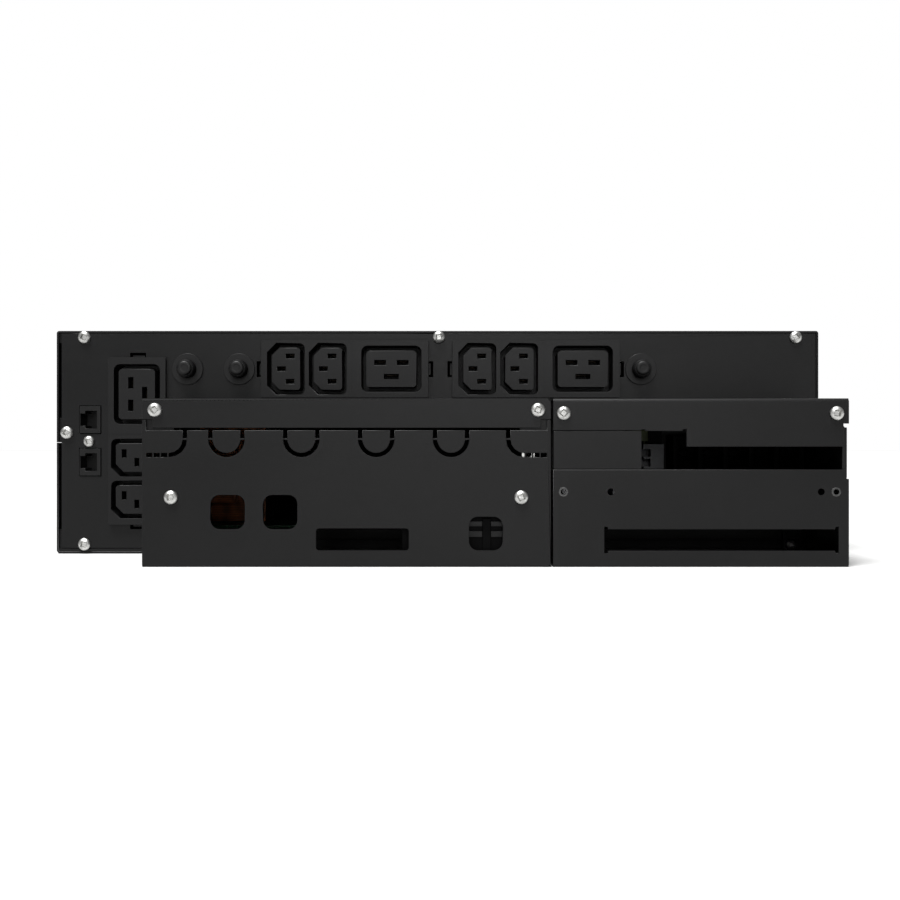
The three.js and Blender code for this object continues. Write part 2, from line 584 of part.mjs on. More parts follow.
function wiringBox() {
  const [left, right] = [WIRING_LEFT, WIRING_RIGHT];
  const wallTop = BOX.height - SHEET - SEAT;
  const cornerTop = LIP_BOTTOM + LIP.cornerRise - LIP.gap;
  const face = outline([
    [left, 0],
    [right, 0],
    [right, cornerTop],
    [right - LIP.cornerWidth, cornerTop],
    [right - LIP.cornerWidth, FACE_TOP],
    [left + LIP.cornerWidth, FACE_TOP],
    [left + LIP.cornerWidth, cornerTop],
    [left, cornerTop],
  ]);
  const behindLip = BOX_FACE + SHEET + SEAT;
  const trim = block([left - 1, right + 1], [BOX_FACE - 1, behindLip], [cornerTop, BOX.height]);
  const shell = join([...boxShell(left, right, wallTop, wallTop), prism(face, [BOX_FACE, BOX_FACE + SHEET])]);
  const screwTabs = [
    [left + TUCK + LAP, left + 16],
    [right - 16, right - TUCK - LAP],
  ].map((across) => block(across, [behindLip, behindLip + SHEET], [FACE_TOP - 2, wallTop - TUCK]));
  const through = [BOX_FACE - 1, BOX_FACE + SHEET + LAP];
  const holes = [0, 1].map((i) => {
    const x = left + SQUARE_HOLE.from + i * SQUARE_HOLE.pitch;
    return roundedRectangle(x, SQUARE_HOLE.up, SQUARE_HOLE.size, SQUARE_HOLE.size, SQUARE_HOLE.corner);
  });
  const slot = roundedRectangle(
    left + CABLE_SLOT.from,
    CABLE_SLOT.up,
    CABLE_SLOT.width,
    CABLE_SLOT.height,
    CABLE_SLOT.corner,
  );
  const look = roundedRectangle(right - WINDOW.fromRight, WINDOW.up, WINDOW.size, WINDOW.size, WINDOW.corner);
  part(
    "wiring_box",
    cut(join([shell.subtract(trim), ...screwTabs]), [
      ...[...holes, slot, look].map((shape) => prism(shape, through, 3)),
      ...knockoutPlaces().map(knockoutSlit),
      sideKnockoutSlit(left, 1),
      sideKnockoutSlit(right, -1),
      ...wiringScrews().map(({ x, z }) => screwHole(x, z, [BOX_FACE - 1, BOX_FACE + 5])),
    ]),
    FINISH.steel,
  );
}

function wiringScrews() {
  const lid = BOX.height - LID_SCREW.down;
  return [
    { name: "lid_screw_left", x: WIRING_LEFT + LID_SCREW.in, z: lid },
    { name: "lid_screw_right", x: WIRING_RIGHT - LID_SCREW.in, z: lid },
    { name: "face_screw_left", x: WIRING_LEFT + FACE_SCREW.in, z: FACE_SCREW.up },
    { name: "face_screw_right", x: WIRING_RIGHT - FACE_SCREW.in - 0.4, z: FACE_SCREW.up },
  ];
}

/** A lid folded from one sheet: a top and a lip over the front. */
function foldedLid(left, right, lipBottom) {
  return beam(
    outline([
      [BOX_FACE, lipBottom],
      [BOX_FACE + SHEET, lipBottom],
      [BOX_FACE + SHEET, BOX.height - SHEET],
      [BOX_BACK, BOX.height - SHEET],
      [BOX_BACK, BOX.height],
      [BOX_FACE, BOX.height],
    ]),
    [left, right],
  );
}

function wiringLid() {
  const [left, right] = [WIRING_LEFT, WIRING_RIGHT];
  const narrow = LIP.cornerWidth + LIP.cornerNotch;
  const shoulder = LIP_BOTTOM + LIP.cornerRise - LIP.gap + SEAT;
  const corners = [
    [left - 1, left + narrow],
    [right - narrow, right + 1],
  ].map((across) => block(across, [BOX_FACE - 1, BOX_FACE + SHEET + LAP], [LIP_BOTTOM - 1, shoulder]));
  const holes = wiringScrews().slice(0, 2).map(({ x, z }) => screwHole(x, z, [BOX_FACE - 1, BOX_FACE + 2]));
  part("wiring_box_lid", cut(foldedLid(left, right, LIP_BOTTOM), [...corners, ...holes]), FINISH.steel);
}

/** A row of cage-clamp terminals on the wiring box's floor, seen through its window. */
function clampBlock() {
  const { poles, pitch, height, depth, behindFace } = CLAMP_BLOCK;
  const length = poles * pitch;
  const right = WIRING_RIGHT - 12.5;
  const left = right - length;
  const y = [BOX_FACE + behindFace, BOX_FACE + behindFace + depth];
  const base = block([left, right], y, [SHEET + SEAT, SHEET + SEAT + height]);
  const tools = [];
  for (let i = 0; i < poles; i += 1) {
    const x = left + (i + 0.5) * pitch;
    tools.push(block([x - 4, x + 4], [y[0] - 1, y[0] + 12], [12.4, 15.2]));
    tools.push(block([x - 4, x + 4], [y[0] - 1, y[0] + 12], [18.8, 24]));
    const wall = left + i * pitch;
    if (i > 0) tools.push(block([wall - 1, wall + 1], [y[0] - 1, y[0] + 8], [4.6, height + 4]));
  }
  part("clamp_block", cut(base, tools), FINISH.plastic);
}

// ---------------------------------------------------------------- link box (right)

/** Lower half of the right-hand box: floor, walls, and the face under the long opening. */
function linkBox() {
  const [left, right] = [LINK_LEFT, LINK_RIGHT];
  const wallTop = BOX.height - SHEET - SEAT;
  const faceTop = LONG_SLOT.bottom - 0.6;
  const face = outline([
    [left, 0],
    [right, 0],
    [right, SIDE_NOTCH.bottom],
    [right - 1.3, SIDE_NOTCH.bottom],
    [right - 1.3, faceTop],
    [left, faceTop],
  ]);
  const front = [BOX_FACE - 1, BOX_FACE + SIDE_NOTCH.depth];
  const { left: from, right: to, bottom, top, relief, ear } = BOTTOM_SLOT;
  const [x0, x1] = [left + from, right - to];
  const slot = outline([
    [x0, bottom - relief],
    [x0 + ear, bottom - relief],
    [x0 + ear, bottom],
    [x1 - ear, bottom],
    [x1 - ear, bottom - relief],
    [x1, bottom - relief],
    [x1, top + relief],
    [x1 - ear, top + relief],
    [x1 - ear, top],
    [x0 + ear, top],
    [x0 + ear, top + relief],
    [x0, top + relief],
  ]);
  const behindLip = BOX_FACE + SHEET + SEAT;
  const shell = cut(boxShell(left, right, wallTop, TERMINALS.up - 2).reduce((a, b) => a.add(b)), [
    block([left - 1, right + 1], [BOX_FACE - 1, behindLip], [faceTop - LAP, BOX.height]),
    block([left - 1, left + SHEET + 1], front, [faceTop - LAP, SIDE_NOTCH.top + 1]),
    block([right - SHEET - 1, right + 1], front, [SIDE_NOTCH.bottom, SIDE_NOTCH.top + 1]),
  ]);
  const screwTabs = [
    [left + TUCK + LAP, left + 14],
    [right - 14, right - TUCK - LAP],
  ].map((across) => block(across, [behindLip, behindLip + SHEET], [SIDE_NOTCH.top + 1.4, wallTop - TUCK]));
  const through = [BOX_FACE - 1, BOX_FACE + SHEET + LAP];
  part(
    "link_box",
    cut(join([shell, prism(face, [BOX_FACE, BOX_FACE + SHEET]), ...screwTabs]), [
      prism(slot, through),
      ...LINK_HOLES.in.map((x) => bar(LINK_HOLES.radius, left + x, through, LINK_HOLES.up, 14)),
      ...linkScrews().map(({ x, z }) => screwHole(x, z, [BOX_FACE - 1, BOX_FACE + 5])),
    ]),
    FINISH.steel,
  );
}

function linkScrews() {
  const z = BOX.height - LINK_SCREW.down;
  return [
    { name: "cover_screw_left", x: LINK_LEFT + LINK_SCREW.fromLeft, z },
    { name: "cover_screw_right", x: LINK_RIGHT - LINK_SCREW.fromRight, z },
  ];
}

/** Cover of the right-hand box: its top and a front lip that steps down along the long opening. */
function linkCover() {
  const [left, right] = [LINK_LEFT, LINK_RIGHT];
  const relief = 0.9;
  const start = left + LONG_SLOT.start;
  const step = left + LONG_SLOT.step;
  const away = (from, to, top) =>
    block([from, to], [BOX_FACE - 1, BOX_FACE + SHEET + LAP], [LONG_SLOT.lowTop - 1, top]);
  const cuts = [
    away(left - 1, start, LONG_SLOT.top + SEAT),
    away(start, start + 2, LONG_SLOT.top + relief),
    away(start + 2, step - 2, LONG_SLOT.top),
    away(step - 2, step, LONG_SLOT.top + relief),
    away(right - LONG_SLOT.end, right + 1, SIDE_NOTCH.top + SEAT),
  ];
  const holes = linkScrews().map(({ x, z }) => screwHole(x, z, [BOX_FACE - 1, BOX_FACE + 2]));
  part("link_box_cover", cut(foldedLid(left, right, LONG_SLOT.lowTop), [...cuts, ...holes]), FINISH.steel);
}

/** Inner bracket: a shelf behind the long opening, a blanking plate at its left and an upright at its right. */
function linkBracket() {
  const left = LINK_LEFT + SHEET + TUCK + SEAT;
  const right = LINK_RIGHT - SHEET - TUCK - SEAT;
  const plateEnd = LINK_LEFT + LONG_SLOT.start;
  const inner = BOX_FACE + SHEET + SEAT;
  const behind = inner + TUCK;
  const shelfTop = LONG_SLOT.bottom - 0.6 - SEAT;
  const uprightTop = SIDE_NOTCH.top - 1;
  const depth = 30;
  const pieces = [
    block([left, right], [inner, inner + depth], [shelfTop - SHEET, shelfTop]),
    block([left + TUCK, plateEnd - TUCK], [behind, behind + SHEET], [shelfTop - LAP, LONG_SLOT.top - TUCK]),
    block([LINK_LEFT + SEAT, plateEnd], [BOX_FACE, inner + LAP], [LONG_SLOT.bottom - SEAT, LONG_SLOT.top]),
    block([right - TUCK - SHEET, right - TUCK], [behind, inner + depth - TUCK], [shelfTop - LAP, uprightTop]),
    block(
      [right - TUCK - LAP, LINK_RIGHT - LAP],
      [behind, BOX_FACE + SIDE_NOTCH.depth - SLIDE],
      [SIDE_NOTCH.bottom + SLIDE, SIDE_NOTCH.top - 1.6],
    ),
  ];
  part("link_bracket", join(pieces), FINISH.steel);
}

/** The strip of barrier terminals on the back panel, seen through the long opening. */
function terminalStrip() {
  const { poles, pitch, height, depth } = TERMINALS;
  const right = LINK_RIGHT - TERMINALS.fromRight;
  const left = right - poles * pitch - 2;
  const y = [PANEL_FACE - SEAT - depth, PANEL_FACE - SEAT];
  const base = block([left, right], y, [TERMINALS.up, TERMINALS.up + height]);
  const cells = [];
  for (let i = 0; i < poles; i += 1) {
    const x = left + 2 + i * pitch;
    const open = [TERMINALS.up + 4, TERMINALS.up + height + 1];
    cells.push(block([x, x + pitch - 2.4], [y[0] - 1, y[0] + 15], open));
  }
  part("terminal_strip", cut(base, cells), FINISH.plastic);
}

/** The plug of the remote power-off contacts, beside the terminal strip. */
function signalPlug() {
  const x = LINK_LEFT + 49;
  const y = [PANEL_FACE - SEAT - 22, PANEL_FACE - SEAT];
  const body = block([x, x + 15], y, [58, 71]);
  const wires = [0, 1].map((i) => {
    const start = x + 1.8 + i * 6.2;
    return block([start, start + 4.8], [y[0] - 1, y[0] + 9], [60, 64.6]);
  });
  part("signal_plug", cut(body, wires), FINISH.signal);
}

// ---------------------------------------------------------------- electronics

const FANS = Array.from({ length: FAN.count }, (_, i) => ({
  x: LEFT + BAY_WIDTH + SHEET + SEAT + FAN.gap + FAN.size / 2 + i * (FAN.size + FAN.gap),
  number: i + 1,
}));

function fan({ x, number }) {
  const z = FAN.up + FAN.size / 2;
  const y = [FRONT_EDGE - SHEET - SEAT - FAN.depth, FRONT_EDGE - SHEET - SEAT];
  const half = FAN.size / 2;
  const frame = block([x - half, x + half], y, [z - half, z + half]);
  const bore = bar(FAN_BORE, x, [y[0] - 1, y[1] + 1], z, 32);
  const strutBack = [y[0], y[0] + 3];
  const struts = [
    block([x - half, x + half], strutBack, [z - FAN.strut / 2, z + FAN.strut / 2]),
    block([x - FAN.strut / 2, x + FAN.strut / 2], strutBack, [z - half, z + half]),
    bar(FAN.hub, x, strutBack, z, 20),
  ];
  part(`fan_${number}_frame`, join([cut(frame, [bore]), ...struts]), FINISH.plastic);
  const rotorY = [strutBack[1] + SLIDE, y[1] - 1];
  const tip = FAN_BORE - 1.2;
  const blade = new THREE.BoxGeometry(tip, 1.6, 22).translate(tip / 2, 0, 0);
  const blades = [];
  for (let i = 0; i < FAN.blades; i += 1) {
    const turned = blade.clone().rotateX(0.9).rotateY((i * 2 * Math.PI) / FAN.blades);
    blades.push(solid(turned.translate(x, (rotorY[0] + rotorY[1]) / 2, z)));
  }
  const sweep = bar(tip, x, [rotorY[0] + 1, rotorY[1] - 1], z, 28);
  const rotor = join([join(blades).intersect(sweep), bar(FAN.hub, x, rotorY, z, 20)]);
  part(`fan_${number}_rotor`, rotor, FINISH.plastic);
}

function powerStage() {
  const front = FRONT_EDGE - BAY_DEPTH - 14;
  const y = [PANEL_FACE + 46, front];
  const top = BOARD.up + BOARD.thickness;
  part("power_board", block([LEFT + 12, RIGHT - 12], y, [BOARD.up, top]), FINISH.board);
  const foot = top + SEAT;
  const fins = new THREE.Shape();
  const [x0, x1] = [RIGHT - 150, RIGHT - 30];
  fins.moveTo(x0, foot);
  fins.lineTo(x1, foot);
  const pitch = (x1 - x0) / 11;
  for (let i = 0; i < 11; i += 1) {
    const right = x1 - i * pitch;
    fins.lineTo(right, foot + 62);
    fins.lineTo(right - pitch * 0.35, foot + 62);
    fins.lineTo(right - pitch * 0.35, foot + 8);
    if (i < 10) fins.lineTo(right - pitch, foot + 8);
  }
  fins.lineTo(x0, foot + 8);
  fins.closePath();
  part("heat_sink", prism(fins, [y[0] + 20, y[1] - 20]), FINISH.aluminium);
  const core = block([LEFT + 30, LEFT + 110], [y[0] + 30, y[0] + 100], [foot, foot + 66]);
  const winding = block([LEFT + 48, LEFT + 92], [y[0] + 22, y[0] + 108], [foot + 12, foot + 54]);
  part("transformer", join([core, winding]), FINISH.copper);
  const can = new THREE.CylinderGeometry(17.5, 17.5, 58, 24).rotateX(Math.PI / 2);
  part("bus_capacitor", solid(can.translate(LEFT + 150, y[0] + 50, foot + 29)), FINISH.aluminium);
}

// ---------------------------------------------------------------- battery drawer

const TRAY = {
  left: LEFT + SHEET + SLIDE + 1,
  right: LEFT + BAY_WIDTH - SLIDE - 1,
  bottom: SHEET + SLIDE + 0.5,
  back: FRONT_EDGE - BAY_DEPTH + 8,
  wall: 0.55 * CHASSIS.height,
};

function batteryTray() {
  const { left, right, bottom, back, wall } = TRAY;
  const y = [back, FRONT_EDGE - 1];
  const across = [left + LAP, right - LAP];
  const shell = join([
    prism(trough(left, right, bottom, bottom + wall), y),
    block(across, [back + TUCK, back + TUCK + SHEET], [bottom + LAP, bottom + wall - TUCK]),
    block(across, [y[1] - TUCK - SHEET, y[1] - TUCK], [bottom + LAP, CHASSIS.height - SHEET - 2]),
  ]);
  const plug = block([left + 100, left + 150], [back - 1, back + SHEET + 1], [bottom + 20, bottom + 50]);
  part("battery_tray", shell.subtract(plug), FINISH.steel);
  const room = right - left - 2 * SHEET;
  const width = (room - (PACK.count + 1) * PACK.gap) / PACK.count;
  const floor = bottom + SHEET + SEAT;
  const top = CHASSIS.height - SHEET - PACK.headroom;
  for (let i = 0; i < PACK.count; i += 1) {
    const x = left + SHEET + PACK.gap + i * (width + PACK.gap);
    const depth = [back + SHEET + 16, y[1] - SHEET - 3];
    const body = block([x, x + width], depth, [floor, top]);
    const seams = [1, 2, 3].map((n) => {
      const at = depth[0] + (n * (depth[1] - depth[0])) / 4;
      return block([x - 1, x + width + 1], [at - 0.6, at + 0.6], [top - 3, top + 1]);
    });
    part(`battery_pack_${i + 1}`, cut(body, seams), FINISH.battery);
  }
  const socket = block(
    [left + 100 + SEAT, left + 150 - SEAT],
    [back - 6, back + SHEET + 14],
    [bottom + 20 + SEAT, bottom + 50 - SEAT],
  );
  const contacts = [0, 1].map((i) =>
    block([left + 107 + i * 20, left + 123 + i * 20], [back - 7, back + 2], [bottom + 27, bottom + 43]),
  );
  part("battery_connector", cut(socket, contacts), FINISH.signal);
}

/** A moulded fascia: an open-backed shell with a row of upright vents. */
function fascia(left, right, ventLeft, ventRight, ventHeight) {
  const z = [SHEET / 2, CHASSIS.height - SHEET / 2];
  const y = [FRONT_EDGE + SLIDE, BEZEL_FACE];
  const shape = roundedRectangle((left + right) / 2, (z[0] + z[1]) / 2, right - left, z[1] - z[0], 2.5);
  const outer = prism(shape, y);
  const hollow = block(
    [left + PLASTIC, right - PLASTIC],
    [y[0] - 1, y[1] - PLASTIC],
    [z[0] + PLASTIC, z[1] - PLASTIC],
  );
  const vents = [];
  const count = Math.floor((ventRight - ventLeft) / 9);
  for (let i = 0; i < count; i += 1) {
    const x = ventLeft + i * 9;
    vents.push(block([x, x + 4.5], [y[1] - PLASTIC - 1, y[1] + 1], ventHeight));
  }
  return cut(outer, [hollow, ...vents]);
}

function drawerFascia() {
  const left = LEFT + 0.5;
  const right = LEFT + BAY_WIDTH - SLIDE;
  const middle = (left + right) / 2;
  const grip = roundedRectangle(middle, 30, 96, 22, 5);
  const pocketWall = prism(roundedRectangle(middle, 30, 101, 27, 6), [BEZEL_FACE - 20, BEZEL_FACE - 0.5]);
  const pocket = prism(grip, [BEZEL_FACE - 17, BEZEL_FACE + 1]);
  const shell = fascia(left, right, left + 14, right - 12, [58, CHASSIS.height - 16.6]);
  part("drawer_fascia", shell.add(pocketWall).subtract(pocket), FINISH.plastic);
}

// ---------------------------------------------------------------- control fascia

const CONTROL = { left: LEFT + BAY_WIDTH + SLIDE, right: RIGHT - 0.5 };
const CONTROL_MIDDLE = (CONTROL.left + CONTROL.right) / 2;

function controlFascia() {
  const shell = fascia(CONTROL.left, CONTROL.right, CONTROL.left + 14, CONTROL.left + 62, [14, 40]);
  const more = fascia(CONTROL.left, CONTROL.right, CONTROL.right - 60, CONTROL.right - 12, [14, 40]);
  const front = [BEZEL_FACE - PLASTIC - 1, BEZEL_FACE + 1];
  const middle = CHASSIS.height - DISPLAY.down - DISPLAY.height / 2;
  const opening = roundedRectangle(CONTROL_MIDDLE, middle, DISPLAY.width, DISPLAY.height, 3);
  const [keyWidth, keyHeight] = [KEY.width + 2 * SLIDE, KEY.height + 2 * SLIDE];
  const keys = keyPlaces().map(({ x }) =>
    prism(roundedRectangle(x, KEY.up + KEY.height / 2, keyWidth, keyHeight, 2), front),
  );
  const power = bar(POWER_KEY.radius + SLIDE, CONTROL_MIDDLE, front, POWER_KEY.up, 24);
  part("control_fascia", cut(shell.intersect(more), [prism(opening, front), ...keys, power]), FINISH.plastic);
}

function keyPlaces() {
  return Array.from({ length: KEY.count }, (_, i) => ({
    number: i + 1,
    x: CONTROL_MIDDLE + (i - (KEY.count - 1) / 2) * KEY.pitch,
  }));
}

function displayUnit() {
  const middle = CHASSIS.height - DISPLAY.down - DISPLAY.height / 2;
  const tall = DISPLAY.height - 2 * SEAT;
  const half = DISPLAY.width / 2 - SEAT;
  const y = [BEZEL_FACE - DISPLAY.depth, BEZEL_FACE - 0.8];
  const shape = roundedRectangle(CONTROL_MIDDLE, middle, 2 * half, tall, 2.7);
  const [wide, high] = [2 * (half - DISPLAY.frame), tall - 2 * DISPLAY.frame];
  const opening = roundedRectangle(CONTROL_MIDDLE, middle, wide, high, 1);
  part("display_housing", prism(shape, y).subtract(prism(opening, [y[1] - 2.5, y[1] + 1], 2)), FINISH.plastic);
  const glass = roundedRectangle(CONTROL_MIDDLE, middle, wide - 2 * SEAT, high - 2 * SEAT, 0.8);
  part("display_window", prism(glass, [y[1] - 2.2, y[1] - 0.3], 2), FINISH.glass);
}

function keys() {
  for (const { number, x } of keyPlaces()) {
    const cap = roundedRectangle(x, KEY.up + KEY.height / 2, KEY.width, KEY.height, 1.6);
    part(`menu_key_${number}`, prism(cap, [BEZEL_FACE - TUCK - KEY.depth, BEZEL_FACE - TUCK]), FINISH.plastic);
  }
  const depth = [BEZEL_FACE - TUCK - POWER_KEY.depth, BEZEL_FACE - TUCK];
  const power = bar(POWER_KEY.radius, CONTROL_MIDDLE, depth, POWER_KEY.up, 24);
  part("power_button", power, FINISH.plastic);
}

// ---------------------------------------------------------------- rack ears

/** An angle bracket: a leg along the chassis wall and a slotted flange for the rack's upright. */
function rackEar(name, side) {
  const wall = side * (CHASSIS.width / 2 + SEAT);
  const outer = wall + side * EAR.thickness;
  const tip = side * (CHASSIS.width / 2 + EAR.reach);
  const angle = outline([
    [wall, FRONT_EDGE],
    [wall, FRONT_EDGE - EAR.leg],
    [outer, FRONT_EDGE - EAR.leg],
    [outer, FRONT_EDGE - EAR.thickness],
    [tip, FRONT_EDGE - EAR.thickness],
    [tip, FRONT_EDGE],
  ]);
  const slots = [-1, 1].map((end) => {
    const up = CHASSIS.height / 2 + (end * EAR.rackPitch) / 2;
    const through = [FRONT_EDGE - EAR.thickness - 1, FRONT_EDGE + 1];
    return prism(stadium((outer + tip) / 2, up, EAR.slotWidth, EAR.slot), through);
  });
  part(name, cut(column(angle, [1, CHASSIS.height - 1]), slots), FINISH.steel);
}

// ---------------------------------------------------------------- assembly

chassisTray();
topCover();
rearPanel();
frontPanel();
BLOCKS.forEach(outletBlock);
BREAKER_ACROSS.forEach((across, i) => breaker(i + 1, LEFT + across));
jack("network_jack_upper", JACK.aboveMiddle[0]);
jack("network_jack_lower", JACK.aboveMiddle[1]);
for (const [place, across, up] of PANEL_SCREWS) screw(`panel_screw_${place}`, LEFT + across, up, PANEL_FACE);
screw("jack_screw", LEFT + JACK_SCREW.across, HALF_HEIGHT + JACK_SCREW.aboveMiddle, PANEL_FACE, SMALL_SCREW);
wiringBox();
wiringLid();
clampBlock();
linkBox();
linkCover();
linkBracket();
terminalStrip();
signalPlug();
for (const { name, x, z } of [...wiringScrews(), ...linkScrews()]) screw(name, x, z, BOX_FACE);
FANS.forEach(fan);
powerStage();
batteryTray();
drawerFascia();
controlFascia();
displayUnit();
keys();
rackEar("rack_ear_left", -1);
rackEar("rack_ear_right", 1);

export default root;
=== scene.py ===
"""Looks of a rack-mounted power supply: pieces, finishes and stage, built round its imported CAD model."""

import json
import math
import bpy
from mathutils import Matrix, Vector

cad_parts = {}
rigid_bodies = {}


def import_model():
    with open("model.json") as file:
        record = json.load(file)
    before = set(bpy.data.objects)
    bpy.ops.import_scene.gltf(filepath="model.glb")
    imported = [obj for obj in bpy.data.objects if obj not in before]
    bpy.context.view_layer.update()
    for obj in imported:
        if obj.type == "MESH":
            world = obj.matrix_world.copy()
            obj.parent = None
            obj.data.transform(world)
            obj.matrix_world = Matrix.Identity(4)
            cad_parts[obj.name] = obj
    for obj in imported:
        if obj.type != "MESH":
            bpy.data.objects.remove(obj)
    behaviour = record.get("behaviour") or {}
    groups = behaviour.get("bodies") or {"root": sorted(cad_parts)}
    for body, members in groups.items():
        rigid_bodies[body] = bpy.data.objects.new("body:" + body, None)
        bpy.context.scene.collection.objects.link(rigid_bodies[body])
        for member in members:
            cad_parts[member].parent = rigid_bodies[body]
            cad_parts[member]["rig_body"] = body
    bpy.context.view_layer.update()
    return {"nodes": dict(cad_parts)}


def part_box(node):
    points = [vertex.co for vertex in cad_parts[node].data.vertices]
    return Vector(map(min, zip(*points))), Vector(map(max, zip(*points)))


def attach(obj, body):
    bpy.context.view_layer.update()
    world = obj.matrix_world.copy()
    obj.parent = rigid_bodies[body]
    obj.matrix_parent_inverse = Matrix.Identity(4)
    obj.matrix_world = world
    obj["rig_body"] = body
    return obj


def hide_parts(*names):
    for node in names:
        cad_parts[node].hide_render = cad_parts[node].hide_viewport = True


bl_info = {
    "name": "Rackmount power supply",
    "version": (1, 0, 0),
    "blender": (4, 5, 0),
    "location": "View3D > Sidebar > Power supply",
    "description": "Builds the pieces, finishes and stage of a rack-mounted power supply",
    "category": "Object",
}

import bmesh
import bpy
from mathutils import Matrix, Vector

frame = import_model()
MM = 0.001
QUARTER = math.pi / 2
BACKWARDS, FORWARDS, UPWARDS = Vector((0, -1, 0)), Vector((0, 1, 0)), Vector((0, 0, 1))
SMOOTH = math.radians(40)
SAME_PLACE = 0.05 * MM  # how far apart two planes may be and still count as one


# ---------------------------------------------------------------- modelling


def focus(piece):
    """Deselects everything, then selects one piece and makes it the active one."""
    if bpy.context.mode != "OBJECT":
        bpy.ops.object.mode_set(mode="OBJECT")
    bpy.ops.object.select_all(action="DESELECT")
    piece.select_set(True)
    bpy.context.view_layer.objects.active = piece


class Editing:
    """Edit mode on one piece, with nothing selected at the start."""

    def __init__(self, piece, kind="FACE"):
        self.piece, self.kind = piece, kind

    def __enter__(self):
        focus(self.piece)
        bpy.ops.object.mode_set(mode="EDIT")
        bpy.ops.mesh.select_mode(type=self.kind)
        bpy.ops.mesh.select_all(action="DESELECT")
        return self

    def __exit__(self, *_):
        bpy.ops.object.mode_set(mode="OBJECT")

    def pick(self, test):
        """Selects the elements that pass a test, and only those. Gives their number."""
        mesh = bmesh.from_edit_mesh(self.piece.data)
        elements = {"VERT": mesh.verts, "EDGE": mesh.edges, "FACE": mesh.faces}[self.kind]
        chosen = [element for element in elements if test(element)]
        bpy.ops.mesh.select_all(action="DESELECT")
        for element in chosen:
            element.select_set(True)
        mesh.select_flush_mode()
        bmesh.update_edit_mesh(self.piece.data)
        return len(chosen)

    def facing(self, direction):
        """Selects the faces that look straight along a direction."""
        return self.pick(lambda face: face.normal.dot(Vector(direction)) > 0.99)


def settle(name):
    """Names the primitive just added and moves its place, turn and size into its mesh."""
    piece = bpy.context.object
    piece.name = piece.data.name = name
    bpy.ops.object.transform_apply(location=True, rotation=True, scale=True)
    return piece


def cuboid(name, low, high):
    low, high = Vector(low), Vector(high)
    bpy.ops.object.select_all(action="DESELECT")
    bpy.ops.mesh.primitive_cube_add(size=1, location=(low + high) / 2, scale=high - low)
    return settle(name)


def pillar(name, radius, middle, depth, sides, turn=(0, 0, 0)):
    """A round bar, upright unless it is turned."""
    bpy.ops.object.select_all(action="DESELECT")
    bpy.ops.mesh.primitive_cylinder_add(
        vertices=sides, radius=radius, depth=depth, location=middle, rotation=turn
    )
    return settle(name)


def drum(name, radius, x, z, front, back, sides=48):
    """A round bar along Y."""
    return pillar(name, radius, (x, (front + back) / 2, z), back - front, sides, (QUARTER, 0, 0))


def extrude(vector):
    """Pulls the selection out."""
    bpy.ops.mesh.extrude_region_move(TRANSFORM_OT_translate={"value": vector})


def crown(piece, steps, direction=BACKWARDS):
    """Insets the end face step by step, each an inset and the height that it rises."""
    with Editing(piece) as shape:
        shape.facing(direction)
        for thickness, depth in steps:
            bpy.ops.mesh.inset(thickness=thickness, depth=depth)


def round_edges(piece, width, steps=2, test=lambda edge: True, sharper=28, shortest=0.0):
    """Bevels a piece's outer sharp edges."""
    with Editing(piece, "EDGE") as shape:
        sharp = math.radians(sharper)

        def outer(edge):
            return (
                len(edge.link_faces) == 2
                and edge.is_convex
                and edge.calc_face_angle() > sharp
                and edge.calc_length() > shortest
                and test(edge)
            )

        if shape.pick(outer):
            bpy.ops.mesh.bevel(offset=width, segments=steps, affect="EDGES")


def modify(piece, kind, **settings):
    """Adds a modifier and applies it."""
    focus(piece)
    bpy.ops.object.modifier_add(type=kind)
    modifier = piece.modifiers[-1]
    for name, value in settings.items():
        setattr(modifier, name, value)
    bpy.ops.object.modifier_apply(modifier=modifier.name)


def carve(piece, tool):
    """Cuts one piece out of another and throws the tool away."""
    modify(piece, "BOOLEAN", object=tool, operation="DIFFERENCE", solver="EXACT")
    bpy.data.objects.remove(tool)


def copied(source, name, matrix=Matrix()):
    """A copy with its own mesh, carried to its place."""
    mesh = source.data.copy()
    mesh.name = name
    mesh.transform(matrix)
    twin = bpy.data.objects.new(name, mesh)
    bpy.context.scene.collection.objects.link(twin)
    return twin


def placed(x, y, z, size=1.0):
    return Matrix.Translation((x, y, z)) @ Matrix.Diagonal((size, size, size, 1))


def united(name, pieces):
    """Joins pieces into one object."""
    focus(pieces[0])
    for piece in pieces[1:]:
        piece.select_set(True)
    bpy.ops.object.join()
    pieces[0].name = pieces[0].data.name = name
    return pieces[0]


